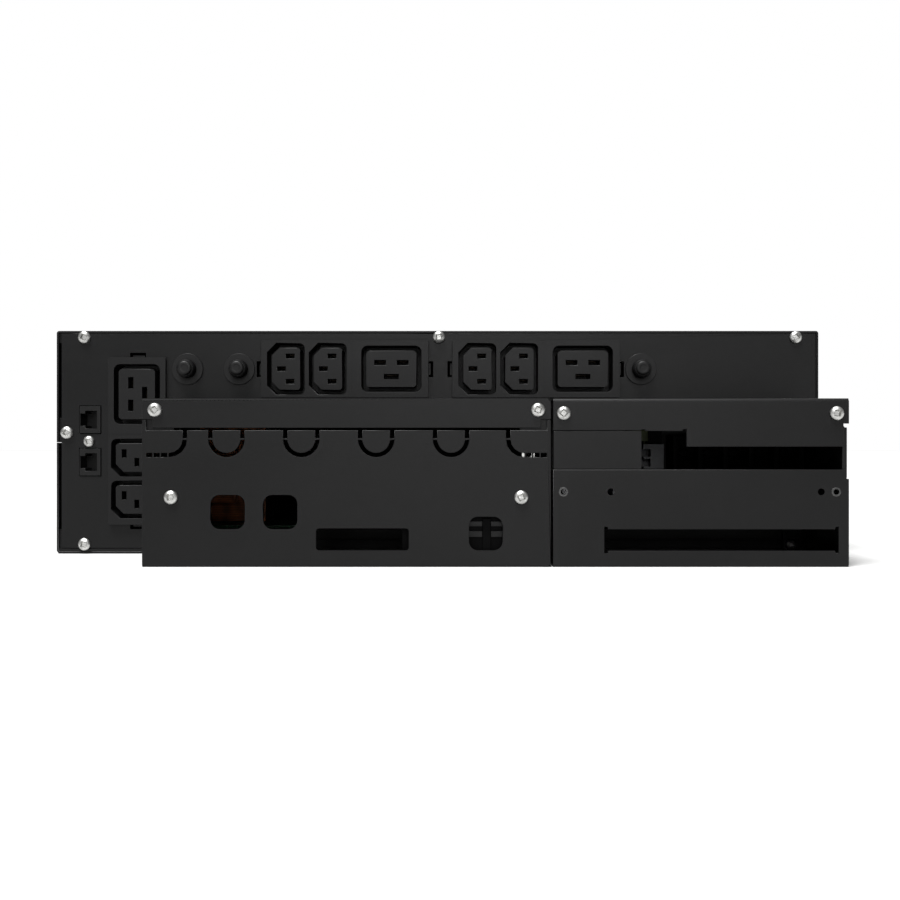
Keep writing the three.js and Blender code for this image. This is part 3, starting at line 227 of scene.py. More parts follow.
def softened(node, edge, shortest=1.6 * MM, bends=(), steps=2, sharp_plane=None, triangles=False):
    """A copy of a CAD node with its flat faces whole, its bends rounded and its edges broken."""
    piece = copied(frame["nodes"][node], f"{node}_finished")
    focus(piece)
    bpy.ops.mesh.customdata_custom_splitnormals_clear()
    with Editing(piece, "EDGE"):
        bpy.ops.mesh.select_all(action="SELECT")
        bpy.ops.mesh.remove_doubles(threshold=0.002 * MM)
        bpy.ops.mesh.dissolve_limited(angle_limit=math.radians(0.6), delimit={"NORMAL"})
        if triangles:
            bpy.ops.mesh.quads_convert_to_tris(ngon_method="BEAUTY")
    # The inner faces of a folded sheet are cut into triangles and their rims stay sharp.
    low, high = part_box(node)
    planes = []
    if sharp_plane is not None:
        wall = sharp_plane + 0.2 * MM
        planes = [(1, low.y + sharp_plane), (0, low.x + wall), (0, high.x - wall)]

    def inside(part):
        return any(all(abs(vertex.co[axis] - at) < SAME_PLACE for vertex in part.verts) for axis, at in planes)

    with Editing(piece) as shape:
        if shape.pick(inside):
            bpy.ops.mesh.quads_convert_to_tris(ngon_method="BEAUTY")
    for along, corner, radius in bends:
        round_edges(piece, radius, 4, test=bend_test(low, high, along, corner), shortest=8 * MM)
    round_edges(piece, edge, steps, shortest=shortest, test=lambda edge: not inside(edge))
    return piece


def bend_test(low, high, along, corner):
    """Finds the edges along one axis that lie on the corner named, such as {1: low, 2: high}."""
    ends = {"low": low, "high": high}

    def test(edge):
        a, b = (vertex.co for vertex in edge.verts)
        straight = abs((a - b).normalized()[along]) > 0.999
        return straight and all(abs(a[axis] - ends[end][axis]) < 0.06 * MM for axis, end in corner.items())

    return test


def finished(piece, finish, like=None, body=None, stands_for=()):
    """Shades a piece, gives it its finish, says what it rides on, and hides the CAD nodes that it stands for.
    """
    focus(piece)
    bpy.ops.object.shade_smooth_by_angle(angle=SMOOTH)
    modify(piece, "WEIGHTED_NORMAL", keep_sharp=True, weight=60)
    piece.data.materials.clear()
    piece.data.materials.append(finish_of(finish))
    for face in piece.data.polygons:
        face.material_index = 0
    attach(piece, body or frame["nodes"][like]["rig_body"])
    if stands_for:
        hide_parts(*stands_for)
    return piece


def stand_in(piece, finish, node):
    """Finishes a piece that stands for one CAD node."""
    return finished(piece, finish, like=node, stands_for=[node])


def middle(node):
    low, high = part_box(node)
    return (low + high) / 2


# ---------------------------------------------------------------- finishes


class Value:
    """A number that changes over a surface. An expression on it adds Math nodes."""

    def __init__(self, paint, socket):
        self.paint, self.socket = paint, socket

    def math(self, operation, *values):
        return self.paint.node("ShaderNodeMath", {"operation": operation}, dict(enumerate(values)))

    def __add__(self, other):
        return self.math("ADD", self, other)

    def __sub__(self, other):
        return self.math("SUBTRACT", self, other)

    def __rsub__(self, other):
        return self.math("SUBTRACT", other, self)

    def __mul__(self, other):
        return self.math("MULTIPLY", self, other)

    def __truediv__(self, other):
        return self.math("DIVIDE", self, other)

    def __gt__(self, other):
        return self.math("GREATER_THAN", self, other)

    def __lt__(self, other):
        return self.math("LESS_THAN", self, other)

    def __abs__(self):
        return self.math("ABSOLUTE", self)

    __radd__, __rmul__ = __add__, __mul__

    def between(self, low, high):
        """1 inside the range and 0 outside it."""
        return (self > low) * (self < high)

    def repeat(self, pitch):
        """Counts from 0 to 1 over each pitch."""
        return (self / pitch).math("FRACT", self / pitch)

    def soft(self, low, high):
        """Rises smoothly from 0 at low to 1 at high."""
        smooth = {"interpolation_type": "SMOOTHSTEP"}
        return self.paint.node("ShaderNodeMapRange", smooth, {0: self, 1: low, 2: high, 3: 0.0, 4: 1.0})


class Paint:
    """One finish: a Principled surface, and the nodes that feed it."""

    def __init__(self, name, **constants):
        self.material = bpy.data.materials.new(name)
        self.material.use_nodes = True
        self.nodes, self.links = self.material.node_tree.nodes, self.material.node_tree.links
        self.surface = self.nodes["Principled BSDF"]
        for socket, value in constants.items():
            self.set(socket.replace("_", " "), value)
        self.place = self.node("ShaderNodeTexCoord", {}, {}, "Object")
        self.height = None

    def node(self, kind, settings, sockets, output=0):
        """Adds one node: its settings first, then the values or links of its sockets."""
        node = self.nodes.new(kind)
        for name, value in settings.items():
            setattr(node, name, value)
        for name, value in sockets.items():
            self.feed(node.inputs[name], value)
        return Value(self, node.outputs[output])

    def feed(self, socket, value):
        if isinstance(value, Value):
            self.links.new(value.socket, socket)
        elif isinstance(value, tuple) and len(value) == 3 and socket.type == "RGBA":
            socket.default_value = (*value, 1)
        else:
            socket.default_value = value

    def set(self, socket, value):
        self.feed(self.surface.inputs[socket], value)

    def stretched(self, scale, turn=(0, 0, 0), shift=(0, 0, 0)):
        """The place on the piece, scaled along each axis."""
        sockets = {"Vector": self.place, "Scale": scale, "Rotation": turn, "Location": shift}
        return self.node("ShaderNodeMapping", {}, sockets)

    def noise(self, scale, detail=2.0, rough=0.5, place=None):
        sockets = {"Vector": place or self.place, "Scale": scale, "Detail": detail, "Roughness": rough}
        return self.node("ShaderNodeTexNoise", {}, sockets)

    def cells(self, scale):
        return self.node("ShaderNodeTexVoronoi", {}, {"Vector": self.place, "Scale": scale})

    def axis(self, index):
        """The distance along one axis, in metres."""
        return self.node("ShaderNodeSeparateXYZ", {}, {0: self.place}, index)

    def mix(self, share, first, second):
        """One colour or the other, by share."""
        return self.node("ShaderNodeMix", {"data_type": "RGBA"}, {0: share, 6: first, 7: second}, 2)

    def relief(self, height, deep, strength=1.0):
        """Raises the surface by a height of 0 to 1 times a depth in metres."""
        bump = {"Height": height, "Distance": deep, "Strength": strength}
        if self.height:
            bump["Normal"] = self.height
        self.height = self.node("ShaderNodeBump", {}, bump)
        self.set("Normal", self.height)


def shade(colour, factor):
    return tuple(min(1.0, channel * factor) for channel in colour)


def powder_coat(colour):
    """Satin powder coat on steel: orange peel, a fine grain, soft smears and a few pale specks."""
    paint = Paint("satin_powder_coat", Specular_IOR_Level=0.2)
    peel, grain, cloud = paint.noise(820, 1.5), paint.noise(4600, 1.0), paint.noise(11, 4.0, 0.6)
    specks = paint.cells(950).soft(0.085, 0.05) * paint.noise(60, 2.0).soft(0.54, 0.7)
    smears = paint.noise(30, 5.0, 0.65, paint.stretched((0.35, 1, 1.6))).soft(0.45, 0.75)
    tone = paint.mix(cloud.soft(0.3, 0.7), shade(colour, 0.84), shade(colour, 1.16))
    tone = paint.mix(grain.soft(0.5, 0.75) * 0.45, tone, shade(colour, 1.9))
    paint.set("Base Color", paint.mix(specks * 0.35, tone, shade(colour, 7)))
    paint.set("Roughness", 0.27 + cloud * 0.1 + grain * 0.1 + smears * 0.06)
    paint.relief(peel, 0.05 * MM, 0.5)
    paint.relief(grain, 0.02 * MM, 0.6)
    return paint.material


def moulded(colour, name, grain_scale, rough, depth, gloss):
    """Injection-moulded plastic with an eroded texture and faint flow marks."""
    paint = Paint(name, Specular_IOR_Level=gloss)
    grain, cloud = paint.noise(grain_scale, 2.0), paint.noise(16, 3.0)
    lines = paint.noise(9, 3.0, 0.6, paint.stretched((1, 1, 5), (0.2, 0.5, 0.1))).soft(0.35, 0.7)
    pit_shade = paint.cells(grain_scale * 0.45).soft(0.0, 0.3)
    tone = paint.mix(cloud.soft(0.3, 0.7), shade(colour, 0.86), shade(colour, 1.15))
    tone = paint.mix(lines * 0.3, tone, shade(colour, 1.35))
    # Painted shade: the colour is darker round the cells' middles, standing for shade in the texture's pits.
    paint.set("Base Color", paint.mix(pit_shade * 0.25, shade(colour, 0.8), tone))
    paint.set("Roughness", rough + grain * 0.12 + lines * 0.05)
    paint.relief(grain, depth * MM, 0.6)
    return paint.material


def zinc_plate(colour):
    """Zinc-plated steel: bright, with fine drawn lines, a dulled bloom and small scratches."""
    paint = Paint("zinc_plate", Metallic=1.0)
    bloom, grain = paint.noise(330, 4.0, 0.6), paint.noise(5200, 2.0)
    drawn = paint.noise(900, 2.0, 0.5, paint.stretched((1, 1, 9), (0, 0.6, 0)))
    scratch = paint.noise(700, 1.0, 0.5, paint.stretched((0.15, 1, 4), (0, -0.5, 0))).soft(0.68, 0.74)
    tone = paint.mix(bloom.soft(0.35, 0.7), shade(colour, 0.8), shade(colour, 1.15))
    paint.set("Base Color", paint.mix(scratch * 0.6, tone, shade(colour, 1.5)))
    paint.set("Roughness", 0.26 + bloom * 0.14 + drawn * 0.1)
    paint.relief(drawn + grain * 0.5 - scratch * 0.6, 0.012 * MM, 0.5)
    return paint.material


def gold_contact(colour):
    """Gold-plated spring wire, a little redder where the plating is thin."""
    paint = Paint("gold_contact", Metallic=1.0)
    worn = paint.noise(1500, 3.0, 0.6).soft(0.4, 0.7)
    paint.set("Base Color", paint.mix(worn, colour, shade(colour, 0.6)))
    paint.set("Roughness", 0.22 + worn * 0.2)
    return paint.material


def circuit_board(colour):
    """Glass-epoxy laminate with solder mask over its copper tracks, pads and a woven shadow."""
    paint = Paint("circuit_board", Coat_Roughness=0.2)
    across, along = paint.axis(0), paint.axis(1)
    lanes = paint.cells(70).soft(0.3, 0.36)
    tracks = across.repeat(3.2 * MM).between(0.3, 0.55) * lanes
    cross = along.repeat(3.8 * MM).between(0.35, 0.6) * (1 - lanes)
    copper = (tracks + cross).math("MINIMUM", tracks + cross, 1.0)
    pad = paint.cells(210).soft(0.16, 0.1) * paint.noise(50).soft(0.5, 0.56)
    weave = across.repeat(0.5 * MM) * along.repeat(0.5 * MM)
    mask = paint.mix(weave * 0.3, colour, shade(colour, 1.6))
    tone = paint.mix(copper, mask, shade(colour, 2.1))
    paint.set("Base Color", paint.mix(pad, tone, (0.62, 0.6, 0.55)))
    paint.set("Metallic", pad * 0.9)
    paint.set("Roughness", 0.38 - copper * 0.08 + weave * 0.1)
    paint.relief(copper + pad, 0.05 * MM, 0.8)
    return paint.material


def extruded_aluminium(colour):
    """Bare extruded aluminium, with die lines along its length and a dull oxide."""
    paint = Paint("extruded_aluminium", Metallic=1.0)
    lines = paint.noise(1400, 3.0, 0.6, paint.stretched((1, 0.01, 1)))
    oxide = paint.noise(45, 4.0, 0.6).soft(0.35, 0.7)
    paint.set("Base Color", paint.mix(oxide, colour, shade(colour, 0.78)))
    paint.set("Roughness", 0.32 + lines * 0.16 + oxide * 0.1)
    paint.relief(lines, 0.02 * MM, 0.5)
    return paint.material


def wound_core(colour):
    """A laminated iron core with lacquered copper windings showing where the coil stands proud."""
    paint = Paint("wound_core", Coat_Weight=0.4, Coat_Roughness=0.25)
    along, up = paint.axis(1), paint.axis(2)
    sheets = along.repeat(0.5 * MM).between(0.2, 1.0)
    turns = abs(up.repeat(1.1 * MM) - 0.5)
    grime = paint.noise(90, 3.0).soft(0.4, 0.7)
    low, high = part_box("transformer")
    coil = abs(along - (low.y + high.y) / 2) > (high.y - low.y) / 2 - 8.6 * MM
    iron = paint.mix(sheets, (0.02, 0.02, 0.021), (0.11, 0.11, 0.115))
    # Painted highlight and shade: each turn of wire is lighter along its middle and darker where it meets the
    # next turn.
    wire = paint.mix(turns * 1.4, shade(colour, 1.2), shade(colour, 0.5))
    tone = paint.mix(coil, iron, wire)
    paint.set("Base Color", paint.mix(grime * 0.4, tone, (0.035, 0.025, 0.02)))
    paint.set("Metallic", 0.55 + coil * 0.2)
    paint.set("Roughness", 0.4 + grime * 0.2)
    paint.relief(turns * coil + sheets * (1 - coil) * 0.3, 0.3 * MM, 0.7)
    return paint.material


def display_glass(colour, lit):
    """A dark window over a segment display: a battery outline with its bars, a load scale and a dotted line."""
    low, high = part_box("display_window")
    centre = (low + high) / 2
    paint = Paint("display_glass", Emission_Strength=1.0, Coat_Weight=1.0, Coat_Roughness=0.04, IOR=1.5)
    across, up = paint.axis(0) - centre.x, paint.axis(2) - centre.z

    def bar(x, z, wide, tall):
        return (abs(across - x * MM) < wide * MM / 2) * (abs(up - z * MM) < tall * MM / 2)

    outline = bar(-22, 0, 24, 11) - bar(-22, 0, 22.6, 9.6) + bar(-9.2, 0, 1.4, 4.4)
    level = bar(-22.8, 0, 19.4, 7.4) * across.repeat(5 * MM).between(0.14, 0.9)
    scale = bar(17, 2.4, 34, 4.6) * across.repeat(3.4 * MM).between(0.2, 0.82)
    dots = bar(17, -3.6, 34, 1.3) * across.repeat(3.4 * MM).between(0.36, 0.66)
    faded = bar(17, 2.4, 34, 4.6) * (across > 14 * MM) * 0.72
    mask = outline + level + (scale - scale * faded) + dots
    mesh = paint.noise(5200, 1.0) * 0.2 + 0.8
    smudge = paint.noise(70, 4.0, 0.6).soft(0.45, 0.75)
    paint.set("Base Color", paint.mix(smudge * 0.5, colour, shade(colour, 2.2)))
    paint.set("Emission Color", paint.mix(mask * mesh, shade(lit, 0.045), lit))
    paint.set("Roughness", 0.06 + smudge * 0.16)
    return paint.material


def key_mark_plastic(colour):
    """Key caps: satin plastic with a thin pale dash in the middle of each menu key."""
    paint = Paint("key_plastic", Specular_IOR_Level=0.45)
    grain = paint.noise(3400, 2.0)
    rub = paint.noise(240, 3.0, 0.6).soft(0.45, 0.7)
    across, up = paint.axis(0), paint.axis(2)
    keys = [middle(f"menu_key_{number}") for number in (1, 2, 3)]
    dash = sum((abs(across - key.x) < 2.4 * MM) * (abs(up - key.z) < 0.4 * MM) for key in keys)
    tone = paint.mix(rub, colour, shade(colour, 1.3))
    paint.set("Base Color", paint.mix(dash * 0.85, tone, (0.7, 0.72, 0.72)))
    paint.set("Roughness", 0.36 + grain * 0.14 + rub * 0.08)
    paint.relief(grain, 0.02 * MM, 0.5)
    return paint.material


def lamp_lens(colour):
    """A frosted lens over a small lamp."""
    paint = Paint("lamp_lens", Emission_Strength=1.6)
    frost = paint.noise(2600, 2.0)
    paint.set("Base Color", paint.mix(frost, colour, shade(colour, 0.7)))
    paint.set("Emission Color", paint.mix(frost.soft(0.2, 0.8), shade(colour, 0.7), colour))
    paint.set("Roughness", 0.35 + frost * 0.2)
    return paint.material


def pale_floor(colour):
    """A plain seamless paper floor."""
    paint = Paint("pale_floor", Specular_IOR_Level=0.2)
    fibre = paint.noise(35, 4.0)
    paint.set("Base Color", paint.mix(fibre * 0.15, colour, shade(colour, 0.97)))
    paint.set("Roughness", 0.8 + fibre * 0.1)
    return paint.material


# Each finish: what makes it, the colours that it takes, and what else it takes.
FINISHES = {
    "black_steel": (powder_coat, ["steel"]),
    "outlet_plastic": (moulded, ["outlet"], "outlet_nylon", 2400, 0.36, 0.03, 0.24),
    "black_plastic": (moulded, ["moulding"], "black_moulding", 2900, 0.38, 0.025, 0.24),
    "shaded_plastic": (moulded, ["dark"], "dark_moulding", 2600, 0.5, 0.02, 0.05),
    "fascia_plastic": (moulded, ["fascia"], "fascia_moulding", 1500, 0.5, 0.06, 0.4),
    "grey_plastic": (moulded, ["grey"], "grey_moulding", 2600, 0.45, 0.02, 0.4),
    "signal_plastic": (moulded, ["signal"], "signal_moulding", 2600, 0.42, 0.02, 0.3),
    "battery_plastic": (moulded, ["battery"], "battery_case", 900, 0.5, 0.05, 0.45),
    "key_plastic": (key_mark_plastic, ["key"]),
    "zinc": (zinc_plate, ["zinc"]),
    "gold": (gold_contact, ["gold"]),
    "shaded_bronze": (gold_contact, ["shaded_bronze"]),
    "eyelet": (gold_contact, ["eyelet"]),
    "board_laminate": (circuit_board, ["board"]),
    "bare_aluminium": (extruded_aluminium, ["aluminium"]),
    "wound_iron": (wound_core, ["winding"]),
    "display_glass": (display_glass, ["glass", "lit"]),
    "lamp": (lamp_lens, ["lamp"]),
    "floor": (pale_floor, ["floor"]),
}
MADE = {}


def finish_of(name):
    """The material of a finish, made the first time that a piece asks for it."""
    if name not in MADE:
        tones = settings("finishes")
        maker, colours, *rest = FINISHES[name]
        MADE[name] = maker(*(tuple(getattr(tones, tone)) for tone in colours), *rest)
    return MADE[name]


# ---------------------------------------------------------------- sizes and colours


def length(label, text, value, low=0.0):
    """A length in millimetres that a user may change."""
    return bpy.props.FloatProperty(
        name=label, description=text, default=value * MM, min=low, unit="LENGTH", precision=5
    )


def amount(label, text, value):
    """A plain number that a user may change."""
    return bpy.props.FloatProperty(name=label, description=text, default=value, min=0)


def colour(label, text, value):
    return bpy.props.FloatVectorProperty(
        name=label, description=text, default=value, subtype="COLOR", size=3, min=0.0, max=1.0
    )


class PowerSupplyFinishes(bpy.types.PropertyGroup):
    """Colours of the finishes, as linear values."""

    steel: colour("Steel", "Powder coat on the folded steel", (0.0036, 0.0036, 0.0037))
    outlet: colour("Outlets", "Moulded nylon of the outlet blocks", (0.0036, 0.0036, 0.0038))
    moulding: colour("Mouldings", "Breakers, jacks, fans and terminals", (0.0036, 0.0036, 0.0037))
    # Painted shade: a darker, duller copy of the black moulding, for the insulators, strip screws and shroud
    # that sit in the shade inside the wiring box.
    dark: colour("Dark mouldings", "Unlit insulators inside the boxes", (0.0011, 0.0011, 0.0012))
    fascia: colour("Fascias", "Moulded front fascias", (0.011, 0.011, 0.0115))
    key: colour("Keys", "Menu keys and power button", (0.03, 0.031, 0.033))
    zinc: colour("Zinc", "Plated screws and clamps", (0.56, 0.56, 0.545))
    gold: colour("Gold", "Plated spring contacts", (0.75, 0.52, 0.2))
    # Painted shade: the spring leaves in the outlets are made nearly black so that they stand for the shade
    # deep in the slots, not for tarnish.
    shaded_bronze: colour("Bronze", "Tarnished spring leaves in the outlets", (0.035, 0.028, 0.02))
    eyelet: colour("Eyelets", "Darkened eyelets and clinch nuts", (0.1, 0.1, 0.1))
    grey: colour("Grey parts", "Plugs and sleeves", (0.075, 0.077, 0.082))
    signal: colour("Signal plug", "Yellow-green plug of the signal contacts", (0.05, 0.065, 0.01))
    board: colour("Board", "Solder mask of the circuit board", (0.012, 0.075, 0.025))
    aluminium: colour("Aluminium", "Heat sink and capacitor can", (0.62, 0.63, 0.65))
    winding: colour("Windings", "Lacquered copper wire", (0.4, 0.13, 0.05))
    battery: colour("Batteries", "Battery cases", (0.022, 0.024, 0.028))
    glass: colour("Display", "Dark window of the display", (0.004, 0.006, 0.01))
    lit: colour("Segments", "Lit segments of the display", (0.36, 0.62, 0.95))
    lamp: colour("Lamp", "Lens of the power button", (0.1, 0.75, 0.3))
    floor: colour("Floor", "Paper floor of the stage", (0.52, 0.52, 0.517))


class PowerSupplySheets(bpy.types.PropertyGroup):
    """Edges and bends of the folded and moulded parts."""

    thickness: length("Thickness", "Thickness of the steel sheet", 1.2)
    broken_edge: length("Broken edge", "Bevel on the sheets' cut edges", 0.22)
    case_bend: length("Case bend", "Outside radius of the case's folds", 1.6)
    box_bend: length("Box bend", "Outside radius of the boxes' and lids' folds", 1.8)
    box_edge: length("Box edge", "Bevel on the cut edges of the boxes", 0.32)
    moulded_edge: length("Moulded edge", "Rounding of moulded edges", 0.35)
    fascia_edge: length("Fascia edge", "Rounding of the fascias' edges", 0.7)


class PowerSupplyScrews(bpy.types.PropertyGroup):
    """Pan-head screws."""

    head: length("Head radius", "Radius of the head", 3.7)
    height: length("Head height", "Height of the head over its seat", 2.2)
    shank: length("Shank radius", "Radius of the thread", 1.85)
    reach: length("Reach", "Length of the thread", 6.8)
    recess: length("Recess length", "Length of the cross recess", 3.9)
    recess_width: length("Recess width", "Width of the recess's wings", 0.85)
    recess_depth: length("Recess depth", "Depth of the recess", 1.5)


class PowerSupplyBreakers(bpy.types.PropertyGroup):
    """Push-to-reset breakers."""

    button: length("Button radius", "Radius of the button", 4.1)
    neck: length("Neck radius", "Outside radius of the threaded neck", 5.2)
    threads: bpy.props.IntProperty(
        name="Threads", description="Turns that show on the neck", default=5, min=0, max=12
    )
    thread_depth: length("Thread depth", "Depth of the thread on the neck", 0.22)


class PowerSupplyFans(bpy.types.PropertyGroup):
    """Axial fans."""

    blades: bpy.props.IntProperty(name="Blades", description="Blades on each rotor", default=7, min=3, max=13)
    hub: length("Hub radius", "Radius of the rotor's hub", 15)
    tip: length("Tip radius", "Radius at the blades' tips", 36.6)
    twist: bpy.props.FloatProperty(
        name="Twist", description="Turn of a blade from its root to its tip", default=-0.42, subtype="ANGLE"
    )
    pitch: bpy.props.FloatProperty(
        name="Pitch", description="Slant of a blade at its root", default=0.95, subtype="ANGLE"
    )


class PowerSupplyStage(bpy.types.PropertyGroup):
    """Camera, lights and floor."""

    camera_side: length("Camera across", "Camera's place across the object", 7.2, -10)
    camera_height: length("Camera height", "Camera's height over the floor", 59.8)
    camera_distance: length("Camera distance", "Camera's distance from the back panel", 722)
    lens: bpy.props.FloatProperty(name="Lens", description="Focal length in millimetres", default=50, min=1)
    sky: amount("Sky", "Strength of the light from all round", 0.2)
    overhead: amount("Overhead", "Strength of the overhead light", 6.5)
    softbox: amount("Softboxes", "Power of each softbox in watts", 5)
    fill: amount("Fill", "Power of the light behind the camera in watts", 16)


GROUPS = {
    "finishes": PowerSupplyFinishes,
    "sheets": PowerSupplySheets,
    "screws": PowerSupplyScrews,
    "breakers": PowerSupplyBreakers,
    "fans": PowerSupplyFans,
    "stage": PowerSupplyStage,
}


def settings(name):
    return getattr(bpy.context.scene, f"power_supply_{name}")


# ---------------------------------------------------------------- pieces


class Step(bpy.types.Operator):
    """One step of the build."""

    bl_options = {"REGISTER", "UNDO"}

    def execute(self, context):
        self.make()
        return {"FINISHED"}


class MakeCase(Step):
    """Fold the case: tray, cover, back and front panels and rack ears"""

    bl_idname = "power_supply.make_case"
    bl_label = "Case"

    def make(self):
        sheets = settings("sheets")
        floor = [(1, {0: side, 2: "low"}, sheets.case_bend) for side in ("low", "high")]
        roof = [(1, {0: side, 2: "high"}, sheets.case_bend) for side in ("low", "high")]
        folds = {
            "chassis_tray": floor,
            "top_cover": roof,
            "rear_panel": [],
            "front_panel": [],
            "rack_ear_left": [(2, {0: "high", 1: "high"}, sheets.case_bend)],
            "rack_ear_right": [(2, {0: "low", 1: "high"}, sheets.case_bend)],
        }
        for node, bends in folds.items():
            piece = softened(node, sheets.broken_edge, bends=bends)
            stand_in(piece, "black_steel", node)


class MakeBoxes(Step):
    """Fold the two boxes at the back, with their lids, cover and inner bracket"""

    bl_idname = "power_supply.make_boxes"
    bl_label = "Wiring boxes"

    # Across, outside and inside radius, up, and how far the ring reaches behind the face, in millimetres.
    eyelets = [(65.2, 2.4, 1.45, 38.4, -0.05, 1.5), (204.7, 2.4, 1.45, 38.4, -0.05, 1.5)]
    nuts = [(47.3, 3.3, 1.7, 57.5, 1.3, 4.2)]

    def make(self):
        sheets = settings("sheets")
        lid = [(0, {1: "low", 2: "high"}, sheets.box_bend)]
        box = [(0, {1: "low", 2: "low"}, sheets.box_bend)]
        folds = {
            "wiring_box": box,
            "wiring_box_lid": lid,
            "link_box": box,
            "link_box_cover": lid,
            "link_bracket": [],
        }
        for node, bends in folds.items():
            sheet = None if node == "link_bracket" else sheets.thickness
            piece = softened(node, sheets.box_edge, bends=bends, sharp_plane=sheet, triangles=sheet is None)
            stand_in(piece, "black_steel", node)
        finished(self.fittings(self.eyelets), "eyelet", body="chassis")
        finished(self.fittings(self.nuts), "zinc", body="chassis")

    def fittings(self, rings):
        """Rings pressed into the boxes' faces."""
        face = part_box("link_box")[0].y
        made = []
        for x, radius, bore, z, front, back in rings:
            ring = drum("ring", radius * MM, x * MM, z * MM, face + front * MM, face + back * MM, 40)
            crown(ring, [(0.18 * MM, 0.1 * MM)])
            x, z = x * MM, z * MM
            carve(ring, drum("bore", bore * MM, x, z, face + (front - 1) * MM, face + (back + 1) * MM, 32))
            made.append(ring)
        return united("box_fittings", made)


# Slots of one outlet block: middle along and across the block, width and height, in millimetres.
SMALL_SLOTS = ((-31.3, 7.3), (-31.3, -7.3), (-36.3, 0))
PIN_SLOTS = [
    *((u + socket, v, 4.7, 2.5) for socket in (0, 24.1) for u, v in SMALL_SLOTS),
    (20.45, 3.5, 6.4, 2.7),
    (33.45, 3.5, 6.4, 2.7),
    (26.95, -4.5, 8.1, 2.7),
]
BLOCKS = ("outlet_block_column", "outlet_block_middle", "outlet_block_right")


class MakeOutlets(Step):
    """Mould the three outlet blocks and set their spring contacts in the slots"""

    bl_idname = "power_supply.make_outlets"
    bl_label = "Outlet blocks"

    def make(self):
        edge = settings("sheets").moulded_edge
        contacts = self.contacts()
        for node in BLOCKS:
            low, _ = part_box(node)
            centre = middle(node)
            turn = Matrix.Rotation(-QUARTER, 4, "Y") if node.endswith("column") else Matrix()
            at = Matrix.Translation((centre.x, low.y, centre.z)) @ turn
            piece = softened(node, edge, shortest=0.9 * MM)
            rib = cuboid("rib", (3.95 * MM, -0.14 * MM, -16.1 * MM), (4.2 * MM, 0.3 * MM, 16.1 * MM))
            rib.data.transform(at)
            piece = united(f"{node}_finished", [piece, rib])
            stand_in(piece, "outlet_plastic", node)
            # The contacts take the nearly black colour that paints the shade deep in the slots.
            finished(copied(contacts, f"{node}_contacts", at), "shaded_bronze", like=node)
        bpy.data.objects.remove(contacts)

    def contacts(self):
        """The spring leaves of one block, lying down round the middle of its face."""
        leaves = []
        for u, v, wide, high in PIN_SLOTS:
            for side in (-1, 1):
                z = (v + side * (high / 2 - 0.25)) * MM
                thick = 0.3 * MM
                reach = (wide / 2 - 0.5) * MM
                leaf = cuboid(
                    "leaf",
                    (u * MM - reach, 11 * MM, z - thick / 2),
                    (u * MM + reach, 13.6 * MM, z + thick / 2),
                )
                with Editing(leaf) as shape:
                    shape.facing(BACKWARDS)
                    bpy.ops.transform.translate(value=(0, 0, -side * 0.45 * MM))
                    extrude((0, -1.4 * MM, side * 0.5 * MM))
                    bpy.ops.transform.resize(value=(0.8, 1, 1))
                leaves.append(leaf)
        return united("contacts", leaves)


class MakeScrews(Step):
    """Turn one pan-head screw with a cross recess and drive a copy into each hole"""

    bl_idname = "power_supply.make_screws"
    bl_label = "Screws"

    nodes = [
        *(f"panel_screw_{place}_top" for place in ("left", "middle", "right")),
        "panel_screw_left_middle",
        "panel_screw_left_bottom",
        "jack_screw",
        *(f"{kind}_screw_{side}" for kind in ("lid", "face", "cover") for side in ("left", "right")),
    ]
    # Screws that hold the boxes' flaps to the back panel: across and up, in millimetres.
    flap_screws = [(-144.6, 57.3), (-144.6, 17.5), (51.6, 57.3), (51.6, 17.5), (66.2, 17.5), (203.6, 5.4)]

    def make(self):
        sizes = settings("screws")
        screw = self.screw(sizes)
        for number, node in enumerate(self.nodes):
            low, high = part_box(node)
            size = (high.z - low.z) / (2 * sizes.head)
            turn = Matrix.Rotation(0.37 + 1.13 * number, 4, "Y")
            at = placed((low.x + high.x) / 2, low.y + sizes.height * size, (low.z + high.z) / 2, size)
            stand_in(copied(screw, f"{node}_turned", at @ turn), "zinc", node)
        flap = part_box("rear_panel")[0].y - 1.9 * MM
        for number, (across, up) in enumerate(self.flap_screws):
            at = placed(across * MM, flap, up * MM, 0.9) @ Matrix.Rotation(0.9 * number, 4, "Y")
            finished(copied(screw, f"flap_screw_{number + 1}", at), "zinc", body="chassis")
        bpy.data.objects.remove(screw)

    def screw(self, sizes):
        """A screw along Y whose head points backwards and sits on the plane at zero."""
        radius, height = sizes.head, sizes.height
        screw = drum("screw", radius * 0.97, 0, 0, -0.3 * height, 0)
        dome = ((0.05, 0.26), (0.16, 0.24), (0.3, 0.2))
        crown(screw, [(inward * radius, outward * height) for inward, outward in dome])
        with Editing(screw) as shape:
            shape.facing(FORWARDS)
            bpy.ops.mesh.inset(thickness=radius * 0.97 - sizes.shank, depth=0)
            extrude((0, sizes.reach - 0.8 * MM, 0))
            extrude((0, 0.8 * MM, 0))
            bpy.ops.transform.resize(value=(0.7, 1, 0.7))
        wing = sizes.recess_width / 2
        arm = sizes.recess / 2 - wing
        bottom = -height + sizes.recess_depth
        tool = cuboid("recess", (-wing, -height - 0.4 * MM, -wing), (wing, bottom, wing))
        for direction in ((1, 0, 0), (-1, 0, 0), (0, 0, 1), (0, 0, -1)):
            with Editing(tool) as shape:
                way = Vector(direction)
                shape.pick(lambda face: face.normal.dot(way) > 0.99 and face.calc_center_median().dot(way) > 0)
                extrude(way * arm)
        with Editing(tool, "VERT") as shape:
            shape.pick(lambda vertex: vertex.co.y > bottom - 0.01 * MM)
            bpy.ops.transform.resize(value=(0.55, 1, 0.55), center_override=(0, bottom, 0))
        carve(screw, tool)
        return screw


